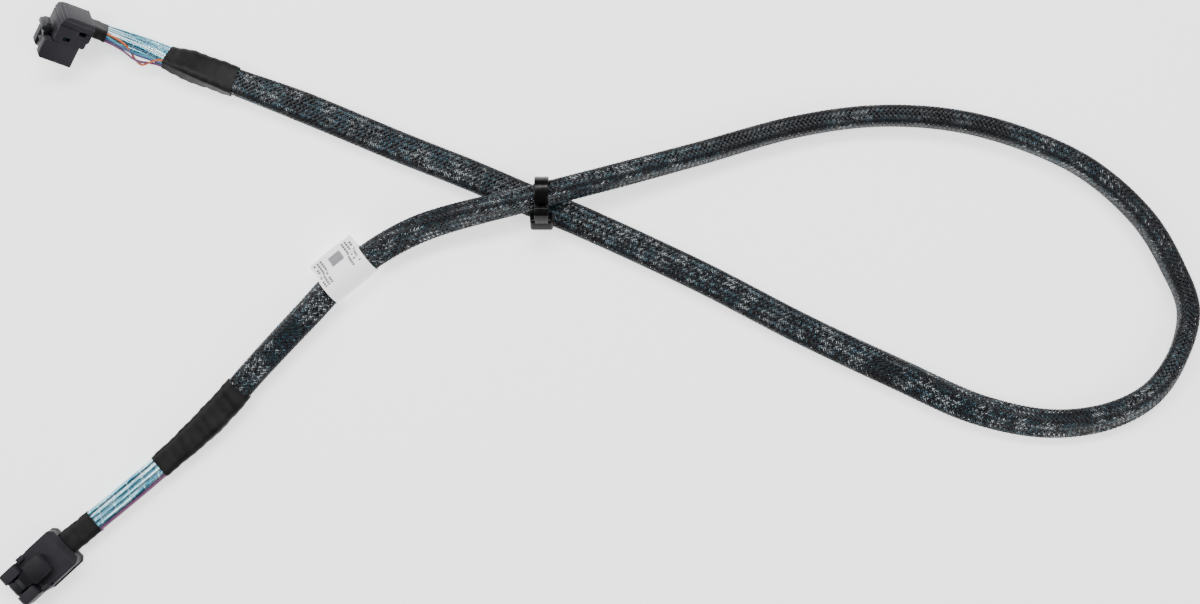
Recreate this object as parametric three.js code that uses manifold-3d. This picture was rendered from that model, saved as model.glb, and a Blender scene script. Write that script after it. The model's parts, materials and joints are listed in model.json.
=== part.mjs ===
// Internal server cable with one straight and one right-angle mini SAS HD plug.
// Millimetres, +Z up. The cable lies on the floor z = 0 in one loose loop.
// X runs to the right and Y to the back of the loop as it is seen from above.

import * as THREE from 'three';
import { mergeVertices } from 'three/addons/utils/BufferGeometryUtils.js';
import Module from 'manifold-3d';

const wasm = await Module();
wasm.setup();

// Fits
const GAP = 0.3;            // clearance between pieces that touch
const SPLIT_GAP = 0.3;      // parting line between two shells

// Plug nose, shared by both plugs
const NOSE_WIDTH = 13.4;
const NOSE_HEIGHT = 8.6;
const NOSE_LENGTH = 8.0;
const NOSE_WALL = 1.0;
const SPLIT_HEIGHT = 4.3;   // parting plane above the underside of the nose
const GUARD_LENGTH = 7.0;
const GUARD_WIDTH = 3.8;
const GUARD_RISE = 3.2;     // above the roof of the nose
const GUARD_CHAMFER = 0.8;

// Plug bodies
const BODY_WIDTH = NOSE_WIDTH + 1.4;
const BODY_WALL = 1.2;
const DECK_RISE = 0.8;      // deck of the body above the roof of the nose
const REAR_CHAMFER = 1.3;
const STRAIGHT_LENGTH = 23.4;
const RIDGE_BACK = 1.9;     // length of the sloped strip at the rear of the deck
const RIDGE_DROP = 2.0;
const FLANGE_WIDTH = BODY_WIDTH + 0.8;
const FLANGE_HEIGHT = 1.7;
const LUG_LENGTH = 2.6;
const LUG_RISE = 1.1;
const ANGLED_LENGTH = 17.1;
const ANGLED_DROP = 1.3;    // body below the underside of the nose, on the cable side
const BOSS_DROP = 1.9;
const EXIT_BACK = ANGLED_LENGTH - 3.2;  // centre of the cable exit behind the nose tip
const COVER_CUT = ANGLED_LENGTH - 3.4;  // parting plane of the back cover behind the nose tip
const WINDOW_LENGTH = 1.5;
const WINDOW_HEIGHT = 2.6;

// Edge cards inside the nose
const CARD_WIDTH = NOSE_WIDTH - 2 * NOSE_WALL - 0.8;
const CARD_THICK = 1.0;
const CARD_PITCH = 2.1;
const CARD_RECESS = 1.0;    // card edge behind the nose tip
const CORE_INSIDE = 9.4;    // how far the core runs into the straight plug
const STRAIGHT_CARD_LENGTH = STRAIGHT_LENGTH - CORE_INSIDE - CARD_RECESS - 0.8;
const ANGLED_CARD_LENGTH = ANGLED_LENGTH - 2.5;
const HOLDER_LENGTH = 2.2;
const HOLDER_BACK = NOSE_LENGTH + 1 + 0.4;  // front face of the card holder behind the nose tip

// Latch lever
const PIVOT_BACK = 1.7;
const PIVOT_HEIGHT = 10.05;
const TRUNNION_RADIUS = 0.7;
const TRUNNION_REACH = 1.1; // how far a trunnion enters its guard
const FINGER_WIDTH = 4.1;
const ARM_WIDTH = 5.0;
const PAD_WIDTH = 7.3;
const LEVER_THICK = 1.8;
const PAD_HOVER = 1.4;      // free travel under the lever, above the deck
const PAD_RISE = 0.9;       // press pad above the arm
const HOOK_RISE = 0.8;
const STRAIGHT_LEVER = {
  padFront: GUARD_LENGTH + 1.5,
  padBack: STRAIGHT_LENGTH - 7.6,
  tailBack: STRAIGHT_LENGTH - 7.2,
};
const ANGLED_LEVER = {
  padFront: GUARD_LENGTH + 1.3,
  padBack: GUARD_LENGTH + 3.2,
  tailBack: GUARD_LENGTH + 4.2,
};

// Cable core
const LAYER_GAP = 0.15;     // clearance between soft layers that are laid on each other
const RIBBON_WIDTH = 6.9;
const RIBBON_THICK = 1.7;
const RIBBON_PITCH = 2.1;
const RIBBON_PAIRS = 4;
const RIBBON_GROOVE = 0.3;
const WIRE_DIAMETER = 0.7;
const WIRE_PITCH = 0.9;
const WIRE_COUNT = 4;
const WIRE_BOW = 2.4;       // how far the wires stand off where they are bare

// Sleeve, tapes, label and tie
const SLEEVE_WIDTH = 10.8;
const SLEEVE_THICK = 7.2;
const SLEEVE_WALL = 0.45;
const TAPE_WALL = 0.35;
const WRAP_WALL = 0.35;
const WRAP_GAP = 0.3;
const LABEL_LENGTH = 17.8;
const LABEL_WALL = 0.3;
const LABEL_FLAG = 5.2;
const LABEL_ROOM = 0.65;    // between the sleeve's side and the label's loop
const LABEL_SHIFT = 0.3;    // toward the inside of the bend it sits in
const TIE_WIDTH = 4.8;
const TIE_THICK = 1.1;
const TIE_HEAD = { wide: 8.2, long: 6.2, deep: 4.6 };
const TIE_TAIL = 3.2;
const TIE_X = -19.7;

// Route of the middle of the cable: x, y, z, roll of the flat core in degrees, and how full the sleeve is,
// as shares of its thickness and width
const ROUTE = [
  [-177.5, 94.9, 11.3, -67, 1, 0.85],
  [-174.0, 93.7, 8.9, -67, 1, 0.85],
  [-169.0, 91.9, 5.5, -66, 1, 0.85],
  [-160.8, 89, 4.4, -58, 1, 0.85],
  [-154.3, 86.5, 4.9, -50, 1, 0.85],
  [-148.1, 83.8, 5.6, -40, 0.85, 0.85],
  [-124.9, 75.4, 4.9, -10, 0.85, 0.86],
  [-101.9, 66.9, 3.8, 0, 1, 1],
  [-67.6, 52.7, 3.7, 0, 1, 1],
  [-43.6, 43.2, 3.9, 0, 0.96, 1],
  [-24.7, 35.1, 4.6, 0, 0.85, 1],
  [-6.9, 27.8, 4.2, 0, 0.96, 1],
  [34.3, 8.8, 3.7, 0, 1, 1],
  [68.6, -8.9, 3.7, 0, 1, 1],
  [102.8, -25, 4.3, 12, 1, 1],
  [130.1, -37, 5.2, 36, 1, 1],
  [154.2, -41.6, 5.5, 50, 1, 1],
  [174.7, -38.9, 5.6, 56, 1, 1],
  [188.9, -31.2, 5.6, 64, 1, 1],
  [197.9, -18.1, 5.6, 74, 1, 1],
  [201.3, -2.7, 5.6, 84, 1, 1],
  [195.6, 12.7, 5.5, 90, 1, 1],
  [186.4, 27.9, 5.5, 92, 1, 1],
  [168.8, 44.2, 5.5, 92, 1, 1],
  [149.6, 54.1, 5.5, 92, 1, 1],
  [123.2, 61.8, 5.5, 92, 1, 1],
  [95.8, 63.7, 5.5, 92, 1, 1],
  [68.1, 60.2, 5.6, 94, 1, 1],
  [33.5, 50.6, 7.2, 100, 1, 1],
  [6.5, 43.1, 11, 108, 0.95, 1],
  [-24.4, 34.9, 13.5, 115, 0.85, 1],
  [-63.1, 24.2, 9.4, 131, 0.95, 0.95],
  [-86.2, 9.9, 7.5, 142, 0.85, 0.9],
  [-100.4, -4.5, 6.2, 155, 0.95, 0.87],
  [-117.5, -22.6, 4.9, 170, 0.9, 0.86],
  [-132.8, -39.8, 4.5, 180, 0.85, 0.86],
  [-150.9, -56.4, 4.3, 180, 0.85, 0.86],
  [-171.8, -73.9, 4.3, 180, 1, 0.86],
  [-182.5, -82.7, 4.3, 180, 1, 0.86],
  [-189.4, -89.1, 4.3, 180, 1, 0.86],
];

// Places along the route, counted in its points
const AT = {
  start: 0,
  angledExit: 1,
  angledTapeEnd: 2,
  angledWrapStart: 5,
  angledWrapStep: 5.4,
  sleeveStart: 5.6,
  angledWrapEnd: 6,
  labelStart: 31.65,
  label: 32,
  labelEnd: 32.5,
  straightWrapStart: 34.4,
  sleeveEnd: 34.75,
  straightWrapStep: 34.9,
  straightWrapEnd: 36,
  straightTapeStart: 37.1,
  straightEntry: 38,
  end: 39,
};
const ANGLED_ROLL = 90 + ROUTE[0][3];   // roll of the right-angle plug about its cable
const STEP = 19;            // longest stretch between two sections of the core
const BARE_STEP = 5;        // the same where the core is bare and at the first wrap

// Finishes
const CHARCOAL = { color: 0x3a3a41, roughness: 0.55, metalness: 0 };
const PAD_BLACK = { color: 0x303036, roughness: 0.5, metalness: 0 };
const CARD_GREEN = { color: 0x1f4a34, roughness: 0.45, metalness: 0 };
const HOLDER_BLACK = { color: 0x1c1c1f, roughness: 0.6, metalness: 0 };
const FOIL = { color: 0x5c8f9c, roughness: 0.3, metalness: 0.7 };
const BRAID = { color: 0x24242a, roughness: 0.7, metalness: 0 };
const TAPE = { color: 0x1d1d20, roughness: 0.6, metalness: 0 };
const NYLON = { color: 0x141416, roughness: 0.25, metalness: 0 };
const PAPER = { color: 0xe9e9ec, roughness: 0.8, metalness: 0 };
const WIRE_COLOURS = [0x9a3f86, 0x28407e, 0x2f93a6, 0xb4561f];

// Solids and booleans

function solidOf(geometry) {
  const bare = geometry.clone();
  bare.deleteAttribute('normal');
  bare.deleteAttribute('uv');
  const welded = mergeVertices(bare, 1e-4);
  return new wasm.Manifold(new wasm.Mesh({
    numProp: 3,
    vertProperties: new Float32Array(welded.attributes.position.array),
    triVerts: new Uint32Array(welded.index.array),
  }));
}

function geometryOf(solid) {
  const { vertProperties, triVerts } = solid.getMesh();
  const geometry = new THREE.BufferGeometry();
  geometry.setAttribute('position', new THREE.BufferAttribute(vertProperties, 3));
  geometry.setIndex(new THREE.BufferAttribute(triVerts, 1));
  geometry.computeVertexNormals();
  return geometry;
}

function join(...solids) {
  return solids.reduce((all, next) => all.add(next));
}

function cut(solid, ...tools) {
  return tools.reduce((rest, tool) => rest.subtract(tool), solid);
}

// Basic shapes

function outlineOf(points) {
  return new THREE.Shape(points.map(([x, y]) => new THREE.Vector2(x, y)));
}

function extruded(points, depth) {
  return new THREE.ExtrudeGeometry(outlineOf(points), { depth, bevelEnabled: false });
}

// A plan outline raised from one height to another
function plate(points, low, high) {
  const geometry = extruded(points, high - low);
  geometry.translate(0, 0, low);
  return solidOf(geometry);
}

// A side outline in X and Z, as wide as given and centred on Y = 0
function profile(points, width) {
  const geometry = extruded(points, width);
  geometry.rotateX(Math.PI / 2);
  geometry.translate(0, width / 2, 0);
  return solidOf(geometry);
}

function block([x0, x1], [y0, y1], [z0, z1]) {
  const geometry = new THREE.BoxGeometry(x1 - x0, y1 - y0, z1 - z0);
  geometry.translate((x0 + x1) / 2, (y0 + y1) / 2, (z0 + z1) / 2);
  return solidOf(geometry);
}

function rodAcross(x, z, radius, y0, y1) {
  const geometry = new THREE.CylinderGeometry(radius, radius, y1 - y0, 16);
  geometry.translate(x, (y0 + y1) / 2, z);
  return solidOf(geometry);
}

function chamferedPlan(x0, x1, halfWidth, chamfer) {
  return [
    [x0, -halfWidth + chamfer],
    [x0 + chamfer, -halfWidth],
    [x1, -halfWidth],
    [x1, halfWidth],
    [x0 + chamfer, halfWidth],
    [x0, halfWidth - chamfer],
  ];
}

// Points of a rectangle with rounded corners, counter-clockwise
function roundedRectangle(halfWidth, halfThick, radius, cornerSteps) {
  const points = [];
  const corners = [[1, 1], [-1, 1], [-1, -1], [1, -1]];
  corners.forEach(([sx, sy], quarter) => {
    for (let i = 0; i <= cornerSteps; i += 1) {
      const angle = (quarter + i / cornerSteps) * Math.PI / 2;
      points.push([
        sx * (halfWidth - radius) + radius * Math.cos(angle),
        sy * (halfThick - radius) + radius * Math.sin(angle),
      ]);
    }
  });
  return points;
}

function ringShape(outer, inner) {
  const shape = outlineOf(outer);
  shape.holes.push(new THREE.Path(inner.map(([x, y]) => new THREE.Vector2(x, y))));
  return shape;
}

// Cable route

const routeCurve = new THREE.CatmullRomCurve3(
  ROUTE.map(([x, y, z]) => new THREE.Vector3(x, y, z)),
  false,
  'centripetal',
);
const LAST = ROUTE.length - 1;

function routeValue(at, column) {
  const i = Math.min(Math.floor(at), LAST - 1);
  return THREE.MathUtils.lerp(ROUTE[i][column], ROUTE[i + 1][column], at - i);
}

// Frame of the cable at a place on the route: level and rolled sideways and upward directions
function frameAt(at) {
  const origin = routeCurve.getPoint(at / LAST);
  const along = routeCurve.getTangent(at / LAST);
  const up = new THREE.Vector3(0, 0, 1);
  const left = up.clone().cross(along).normalize();
  up.crossVectors(along, left);
  const roll = THREE.MathUtils.degToRad(routeValue(at, 3));
  const side = left.clone().multiplyScalar(Math.cos(roll)).addScaledVector(up, Math.sin(roll));
  const normal = up.clone().multiplyScalar(Math.cos(roll)).addScaledVector(left, -Math.sin(roll));
  return { origin, along, left, up, side, normal, swell: routeValue(at, 4), girth: routeValue(at, 5) };
}

function routeStops() {
  const stops = Object.values(AT);
  for (let i = 0; i < LAST; i += 1) {
    const [a, b] = [ROUTE[i], ROUTE[i + 1]];
    const length = Math.hypot(b[0] - a[0], b[1] - a[1], b[2] - a[2]);
    const bare = i >= AT.angledTapeEnd && i < AT.angledWrapEnd;
    const parts = Math.ceil(length / (bare ? BARE_STEP : STEP));
    for (let j = 0; j < parts; j += 1) stops.push(i + j / parts);
  }
  return [...new Set(stops)].sort((a, b) => a - b);
}
const STOPS = routeStops();

function stopsBetween(from, to) {
  const inner = STOPS.filter((at) => at > from && at < to);
  return [from, ...inner, to];
}

// A section carried along the route. place(frame, x, y, at) puts a point of the section in space.
function sweep(shape, stops, place) {
  const steps = stops.length - 1;
  const geometry = new THREE.ExtrudeGeometry(shape, { depth: steps, steps, bevelEnabled: false });
  const frames = stops.map(frameAt);
  const position = geometry.attributes.position;
  for (let i = 0; i < position.count; i += 1) {
    const stop = Math.round(position.getZ(i));
    const point = place(frames[stop], position.getX(i), position.getY(i), stops[stop]);
    position.setXYZ(i, point.x, point.y, point.z);
  }
  geometry.deleteAttribute('normal');
  geometry.deleteAttribute('uv');
  const welded = mergeVertices(geometry, 1e-4);
  welded.computeVertexNormals();
  return welded;
}

function onCore(frame, x, y) {
  return frame.origin.clone().addScaledVector(frame.side, x).addScaledVector(frame.normal, y);
}

// Cable core

const CORE_WIDTH = RIBBON_WIDTH + LAYER_GAP + WIRE_DIAMETER;
const CORE_THICK = RIBBON_PITCH + RIBBON_THICK;
const CORE_HEIGHT = Math.max(CORE_THICK, (WIRE_COUNT - 1) * WIRE_PITCH + WIRE_DIAMETER);
const RIBBON_SIDE = (CORE_WIDTH - RIBBON_WIDTH) / 2;
const WIRE_SIDE = (WIRE_DIAMETER - CORE_WIDTH) / 2;

// A flat foil ribbon: one crest over each pair and a groove between neighbours
function ribbonSection(lift) {
  const pair = RIBBON_WIDTH / RIBBON_PAIRS;
  const crest = RIBBON_THICK / 2;
  const top = [];
  for (let i = 0; i < RIBBON_PAIRS; i += 1) {
    const middle = RIBBON_WIDTH / 2 - (i + 0.5) * pair;
    top.push([middle, crest]);
    if (i < RIBBON_PAIRS - 1) top.push([middle - pair / 2, crest - RIBBON_GROOVE]);
  }
  const bottom = top.map(([x, y]) => [-x, -y]);
  const edge = RIBBON_WIDTH / 2;
  return [[edge, 0], ...top, [-edge, 0], ...bottom]
    .map(([x, y]) => [x + RIBBON_SIDE, y + lift]);
}

function ribbon(lift) {
  return sweep(outlineOf(ribbonSection(lift)), stopsBetween(AT.start, AT.end), onCore);
}

// The wires bow away from the ribbons between the end tape and the first wrap
function bowAt(at) {
  const from = AT.angledTapeEnd;
  const to = AT.angledWrapStart;
  if (at <= from || at >= to) return 0;
  return Math.sin(Math.PI * (at - from) / (to - from)) ** 2;
}

function sidebandWire(index) {
  const lift = (index - (WIRE_COUNT - 1) / 2) * WIRE_PITCH;
  const bow = WIRE_BOW * (1.2 - 0.2 * index);
  const section = [];
  for (let i = 0; i < 8; i += 1) {
    const angle = (i + 0.5) * Math.PI / 4;
    section.push([
      WIRE_SIDE + WIRE_DIAMETER / 2 * Math.cos(angle),
      lift + WIRE_DIAMETER / 2 * Math.sin(angle),
    ]);
  }
  return sweep(outlineOf(section), stopsBetween(AT.start, AT.end), (frame, x, y, at) => (
    onCore(frame, x, y).addScaledVector(frame.left, -bow * bowAt(at))
  ));
}

// Sleeve and tapes

function braidedSleeve() {
  const outer = roundedRectangle(SLEEVE_WIDTH / 2, SLEEVE_THICK / 2, SLEEVE_THICK * 0.36, 2);
  const inner = roundedRectangle(
    SLEEVE_WIDTH / 2 - SLEEVE_WALL, SLEEVE_THICK / 2 - SLEEVE_WALL, SLEEVE_THICK * 0.16, 1,
  );
  const stops = stopsBetween(AT.sleeveStart, AT.sleeveEnd);
  return sweep(ringShape(outer, inner), stops, (frame, x, y) => (
    onCore(frame, x * frame.girth, y * frame.swell)
  ));
}

// Tape laid tightly on the core
function endTape(from, to) {
  const halfWidth = CORE_WIDTH / 2 + LAYER_GAP;
  const halfThick = CORE_HEIGHT / 2 + LAYER_GAP;
  const inner = roundedRectangle(halfWidth, halfThick, 0.4, 1);
  const outer = roundedRectangle(halfWidth + TAPE_WALL, halfThick + TAPE_WALL, 0.7, 1);
  return sweep(ringShape(outer, inner), stopsBetween(from, to), onCore);
}

// Tape that starts on the core and climbs over the end of the sleeve
function sleeveWrap(coreEnd, lead, sleeveSide) {
  const unit = 1;
  const inner = roundedRectangle(unit, unit, 0.35, 2);
  const outer = inner.map(([x, y]) => [2 * x, 2 * y]);
  const stops = stopsBetween(Math.min(coreEnd, sleeveSide), Math.max(coreEnd, sleeveSide));
  return sweep(ringShape(outer, inner), stops, (frame, x, y, at) => {
    const share = THREE.MathUtils.clamp((at - coreEnd) / (lead - coreEnd), 0, 1);
    const halfWidth = THREE.MathUtils.lerp(CORE_WIDTH, SLEEVE_WIDTH * frame.girth, share) / 2 + WRAP_GAP;
    const halfThick = THREE.MathUtils.lerp(CORE_HEIGHT, SLEEVE_THICK * frame.swell, share) / 2 + WRAP_GAP;
    const isOuter = Math.max(Math.abs(x), Math.abs(y)) > 1.5 * unit;
    if (!isOuter) return onCore(frame, x * halfWidth, y * halfThick);
    return onCore(frame, x / 2 * (halfWidth + WRAP_WALL), y / 2 * (halfThick + WRAP_WALL));
  });
}

// Wrap-round label: a loop of film round the sleeve whose two ends are stuck together as a flag
function wrapLabel() {
  const half = SLEEVE_WIDTH * ROUTE[AT.label][5] / 2 + LABEL_ROOM;
  const tip = half + LABEL_FLAG;
  const contour = (offset) => {
    const points = [];
    const turns = 10;
    const open = THREE.MathUtils.degToRad(50);
    for (let i = 0; i <= turns; i += 1) {
      const angle = open + (2 * Math.PI - 2 * open) * i / turns;
      const radius = half + offset;
      points.push([-radius * Math.cos(angle), -radius * Math.sin(angle)]);
    }
    return points;
  };
  const outer = [...contour(LABEL_WALL), [-tip, LABEL_WALL], [-tip, -LABEL_WALL]];
  const inner = [...contour(0), [-half - 2.2, 0]];
  return { outer, inner };
}

// Plug housings, in the frame of the nose: tip at x = 0, mating direction +X, latch side +Z

const ROOF = NOSE_HEIGHT;
const DECK = ROOF + DECK_RISE;
const GUARD_TOP = ROOF + GUARD_RISE;
const GUARD_SIDE = NOSE_WIDTH / 2 - GUARD_WIDTH;

function guards() {
  const side = [
    [-GUARD_LENGTH, ROOF - NOSE_WALL],
    [0, ROOF - NOSE_WALL],
    [0, GUARD_TOP - GUARD_CHAMFER],
    [-GUARD_CHAMFER, GUARD_TOP],
    [-GUARD_LENGTH + GUARD_CHAMFER, GUARD_TOP],
    [-GUARD_LENGTH, GUARD_TOP - GUARD_CHAMFER],
  ];
  const channel = block([-GUARD_LENGTH - 1, 1], [-GUARD_SIDE, GUARD_SIDE], [ROOF, GUARD_TOP + 1]);
  const seat = TRUNNION_RADIUS + GAP;
  const reach = GUARD_SIDE + TRUNNION_REACH + GAP;
  const seats = rodAcross(-PIVOT_BACK, PIVOT_HEIGHT, seat, -reach, reach);
  return cut(profile(side, NOSE_WIDTH), channel, seats);
}

function noseSolid() {
  return block([-NOSE_LENGTH - 1, 0], [-NOSE_WIDTH / 2, NOSE_WIDTH / 2], [0, ROOF]);
}

function noseCavity(depth) {
  const half = NOSE_WIDTH / 2 - NOSE_WALL;
  return block([-depth, 1], [-half, half], [NOSE_WALL, ROOF - NOSE_WALL]);
}

function snapWindows(x, z) {
  const xs = [x - WINDOW_LENGTH / 2, x + WINDOW_LENGTH / 2];
  const zs = [z - WINDOW_HEIGHT / 2, z + WINDOW_HEIGHT / 2];
  return block(xs, [-FLANGE_WIDTH, FLANGE_WIDTH], zs);
}

function cardHeight(side) {
  return SPLIT_HEIGHT + side * CARD_PITCH / 2;
}

function straightHousing() {
  const body = profile([
    [-STRAIGHT_LENGTH, 0],
    [-NOSE_LENGTH, 0],
    [-NOSE_LENGTH, DECK],
    [-STRAIGHT_LENGTH + RIDGE_BACK, DECK],
    [-STRAIGHT_LENGTH, DECK - RIDGE_DROP],
  ], BODY_WIDTH);
  const plan = plate(chamferedPlan(-STRAIGHT_LENGTH, 1, BODY_WIDTH / 2, REAR_CHAMFER), -1, GUARD_TOP);
  const flange = plate(
    chamferedPlan(-STRAIGHT_LENGTH, -NOSE_LENGTH - 1, FLANGE_WIDTH / 2, REAR_CHAMFER), 0, FLANGE_HEIGHT,
  );
  const lugFront = -NOSE_LENGTH;
  const lugBack = lugFront - LUG_LENGTH;
  const lugs = cut(
    block([lugBack, lugFront], [-BODY_WIDTH / 2, BODY_WIDTH / 2], [ROOF, DECK + LUG_RISE]),
    block([lugBack - 1, lugFront + 1], [-BODY_WIDTH / 2 + 1.7, BODY_WIDTH / 2 - 1.7], [DECK, DECK + 9]),
  );
  const notch = block([lugBack - 1.5, lugBack], [BODY_WIDTH / 2 - 1, BODY_WIDTH], [ROOF - 1, DECK + 9]);
  const half = BODY_WIDTH / 2 - BODY_WALL;
  const room = block(
    [-STRAIGHT_LENGTH + RIDGE_BACK, -NOSE_LENGTH - 1], [-half, half], [BODY_WALL, ROOF - NOSE_WALL],
  );
  const entry = block(
    [-STRAIGHT_LENGTH - 1, -STRAIGHT_LENGTH + RIDGE_BACK + 1],
    [-CORE_WIDTH / 2 - GAP, CORE_WIDTH / 2 + GAP],
    [SPLIT_HEIGHT - CORE_HEIGHT / 2 - GAP, SPLIT_HEIGHT + CORE_HEIGHT / 2 + GAP],
  );
  return cut(
    join(body.intersect(plan), flange, noseSolid(), guards(), lugs),
    noseCavity(NOSE_LENGTH + 2),
    room,
    entry,
    notch,
    notch.mirror([0, 1, 0]),
    snapWindows(-NOSE_LENGTH - 3, SPLIT_HEIGHT - 1.7),
    snapWindows(-STRAIGHT_LENGTH + 4.5, SPLIT_HEIGHT - 1.7),
  );
}

function angledHousing() {
  const back = -ANGLED_LENGTH;
  const body = profile([
    [-NOSE_LENGTH, 0],
    [-NOSE_LENGTH, DECK],
    [back + 2.6, DECK],
    [back + 1.1, DECK - 0.5],
    [back + 0.3, DECK - 1.5],
    [back, DECK - 3],
    [back, -ANGLED_DROP - 0.3],
    [back + 0.5, -BOSS_DROP],
    [-EXIT_BACK + 3, -BOSS_DROP],
    [-EXIT_BACK + 3.6, -ANGLED_DROP],
    [-NOSE_LENGTH - 0.6, -ANGLED_DROP],
    [-NOSE_LENGTH, -ANGLED_DROP + 0.6],
  ], BODY_WIDTH);
  const plan = plate(chamferedPlan(back, 1, BODY_WIDTH / 2, REAR_CHAMFER), -BOSS_DROP - 1, GUARD_TOP);
  const half = BODY_WIDTH / 2 - BODY_WALL;
  const room = block(
    [back + BODY_WALL, -NOSE_LENGTH - 1], [-half, half], [-ANGLED_DROP + BODY_WALL, ROOF - NOSE_WALL],
  );
  const exit = block(
    [-EXIT_BACK - CORE_HEIGHT / 2 - GAP, -EXIT_BACK + CORE_HEIGHT / 2 + GAP],
    [-CORE_WIDTH / 2 - GAP, CORE_WIDTH / 2 + GAP],
    [-BOSS_DROP - 1, -ANGLED_DROP + BODY_WALL + 1],
  );
  return cut(
    join(body.intersect(plan), noseSolid(), guards()),
    noseCavity(NOSE_LENGTH + 2),
    room,
    exit,
    snapWindows(-NOSE_LENGTH - 1.4, SPLIT_HEIGHT + 1.1),
    snapWindows(-COVER_CUT + WINDOW_LENGTH / 2, -ANGLED_DROP + 2.4),
  );
}

// Parting cuts. FAR lies well outside any housing.
const FAR = 4 * ANGLED_LENGTH;

function below(solid, z) {
  return solid.intersect(block([-FAR, FAR], [-FAR, FAR], [-FAR, z - SPLIT_GAP / 2]));
}

function above(solid, z) {
  return solid.intersect(block([-FAR, FAR], [-FAR, FAR], [z + SPLIT_GAP / 2, FAR]));
}

function ahead(solid, x) {
  return solid.intersect(block([x + SPLIT_GAP / 2, FAR], [-FAR, FAR], [-FAR, FAR]));
}

function behind(solid, x) {
  return solid.intersect(block([-FAR, x - SPLIT_GAP / 2], [-FAR, FAR], [-FAR, FAR]));
}

// Edge card with two cut corners at the mating edge
function edgeCard(length, side) {
  const tip = -CARD_RECESS;
  const half = CARD_WIDTH / 2;
  const plan = [
    [tip - length, -half],
    [tip - 0.8, -half],
    [tip, -half + 0.8],
    [tip, half - 0.8],
    [tip - 0.8, half],
    [tip - length, half],
  ];
  const z = cardHeight(side);
  return plate(plan, z - CARD_THICK / 2, z + CARD_THICK / 2);
}

function cardHolder() {
  const half = BODY_WIDTH / 2 - BODY_WALL - GAP;
  const xs = [-HOLDER_BACK - HOLDER_LENGTH, -HOLDER_BACK];
  const solid = block(xs, [-half, half], [BODY_WALL + GAP, ROOF - NOSE_WALL - GAP]);
  const slots = [-1, 1].map((side) => {
    const z = cardHeight(side);
    const reach = CARD_THICK / 2 + GAP;
    const slotHalf = CARD_WIDTH / 2 + GAP;
    return block([xs[0] - 1, xs[1] + 1], [-slotHalf, slotHalf], [z - reach, z + reach]);
  });
  return cut(solid, ...slots);
}

// Latch lever: finger between the guards, arm, press pad and a trunnion on each side of the finger
function latch({ padFront, padBack, tailBack }) {
  const [front, back, tail] = [-padFront, -padBack, -tailBack];
  const low = ROOF + GAP + 0.1;
  const lift = DECK + PAD_HOVER;
  const top = lift + LEVER_THICK;
  const knee = -5.0;
  const side = [
    [-GAP, low],
    [-GAP, PIVOT_HEIGHT + 0.2],
    [-1.0, PIVOT_HEIGHT + 1.0],
    [knee + 1.9, PIVOT_HEIGHT + 1.0],
    [knee + 1.2, PIVOT_HEIGHT + 1.0 + HOOK_RISE],
    [knee + 0.2, PIVOT_HEIGHT + 1.0],
    [front, top],
    [front - 0.3, top + PAD_RISE],
    [back + 0.5, top + PAD_RISE],
    [back, top + PAD_RISE - 0.4],
    [back, top],
    [tail, top - 0.3],
    [tail, lift],
    [-NOSE_LENGTH + 0.4, lift],
    [knee, low],
  ];
  const plan = [
    [0, -FINGER_WIDTH / 2],
    [0, FINGER_WIDTH / 2],
    [knee, FINGER_WIDTH / 2],
    [knee - 0.5, ARM_WIDTH / 2],
    [-GUARD_LENGTH - 0.5, ARM_WIDTH / 2],
    [front, PAD_WIDTH / 2],
    [tail + 0.8, PAD_WIDTH / 2],
    [tail, PAD_WIDTH / 2 - 0.8],
    [tail, -PAD_WIDTH / 2 + 0.8],
    [tail + 0.8, -PAD_WIDTH / 2],
    [front, -PAD_WIDTH / 2],
    [-GUARD_LENGTH - 0.5, -ARM_WIDTH / 2],
    [knee - 0.5, -ARM_WIDTH / 2],
    [knee, -FINGER_WIDTH / 2],
  ];
  const reach = GUARD_SIDE + TRUNNION_REACH;
  const lever = profile(side, PAD_WIDTH).intersect(plate(plan, 0, top + PAD_RISE + 1));
  return join(lever, rodAcross(-PIVOT_BACK, PIVOT_HEIGHT, TRUNNION_RADIUS, -reach, reach));
}

// Cable tie round the crossing: a closed strap, its head and the trimmed tail, moulded as one
function cableTie() {
  const upper = [32.6, 19.2];
  const lower = [26.0, 10.6];
  const strap = [
    [28.4, 0], [38.6, 0], [41.0, 1.2], [42.2, 4.5], [42.6, 15.4], [41.4, 18.8], [39.2, 20.3],
    [34.8, 20.3], upper, lower, [24.8, 7.4], [24.8, 3.4], [26.2, 1.0],
  ];
  const middle = new THREE.Vector2(33.6, 10.2);
  const inner = strap.map(([y, z], i) => {
    const before = strap[(i + strap.length - 1) % strap.length];
    const after = strap[(i + 1) % strap.length];
    const toward = new THREE.Vector2(before[1] - after[1], after[0] - before[0]).normalize();
    const point = new THREE.Vector2(y, z);
    if (toward.dot(middle.clone().sub(point)) < 0) toward.negate();
    return point.addScaledVector(toward, TIE_THICK).toArray();
  });
  const shape = ringShape(strap, inner);
  const ring = new THREE.ExtrudeGeometry(shape, { depth: TIE_WIDTH, bevelEnabled: false });
  ring.translate(0, 0, -TIE_WIDTH / 2);
  const headAt = new THREE.Vector2(...lower).lerp(new THREE.Vector2(...upper), 0.34);
  const slope = Math.atan2(upper[1] - lower[1], upper[0] - lower[0]);
  const head = new THREE.BoxGeometry(TIE_HEAD.long, TIE_HEAD.deep, TIE_HEAD.wide, 1, 1, 1);
  head.translate(0, TIE_HEAD.deep / 2 - TIE_THICK / 2, 0);
  head.rotateZ(slope);
  head.translate(headAt.x, headAt.y, 0);
  const tail = new THREE.BoxGeometry(TIE_THICK, TIE_TAIL, TIE_WIDTH - 0.2);
  tail.translate(0, TIE_HEAD.deep - TIE_THICK / 2 + TIE_TAIL / 2 - 0.5, 0);
  tail.rotateZ(slope);
  tail.translate(headAt.x, headAt.y, 0);
  return geometryOf(join(solidOf(ring), solidOf(head), solidOf(tail)));
}

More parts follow.
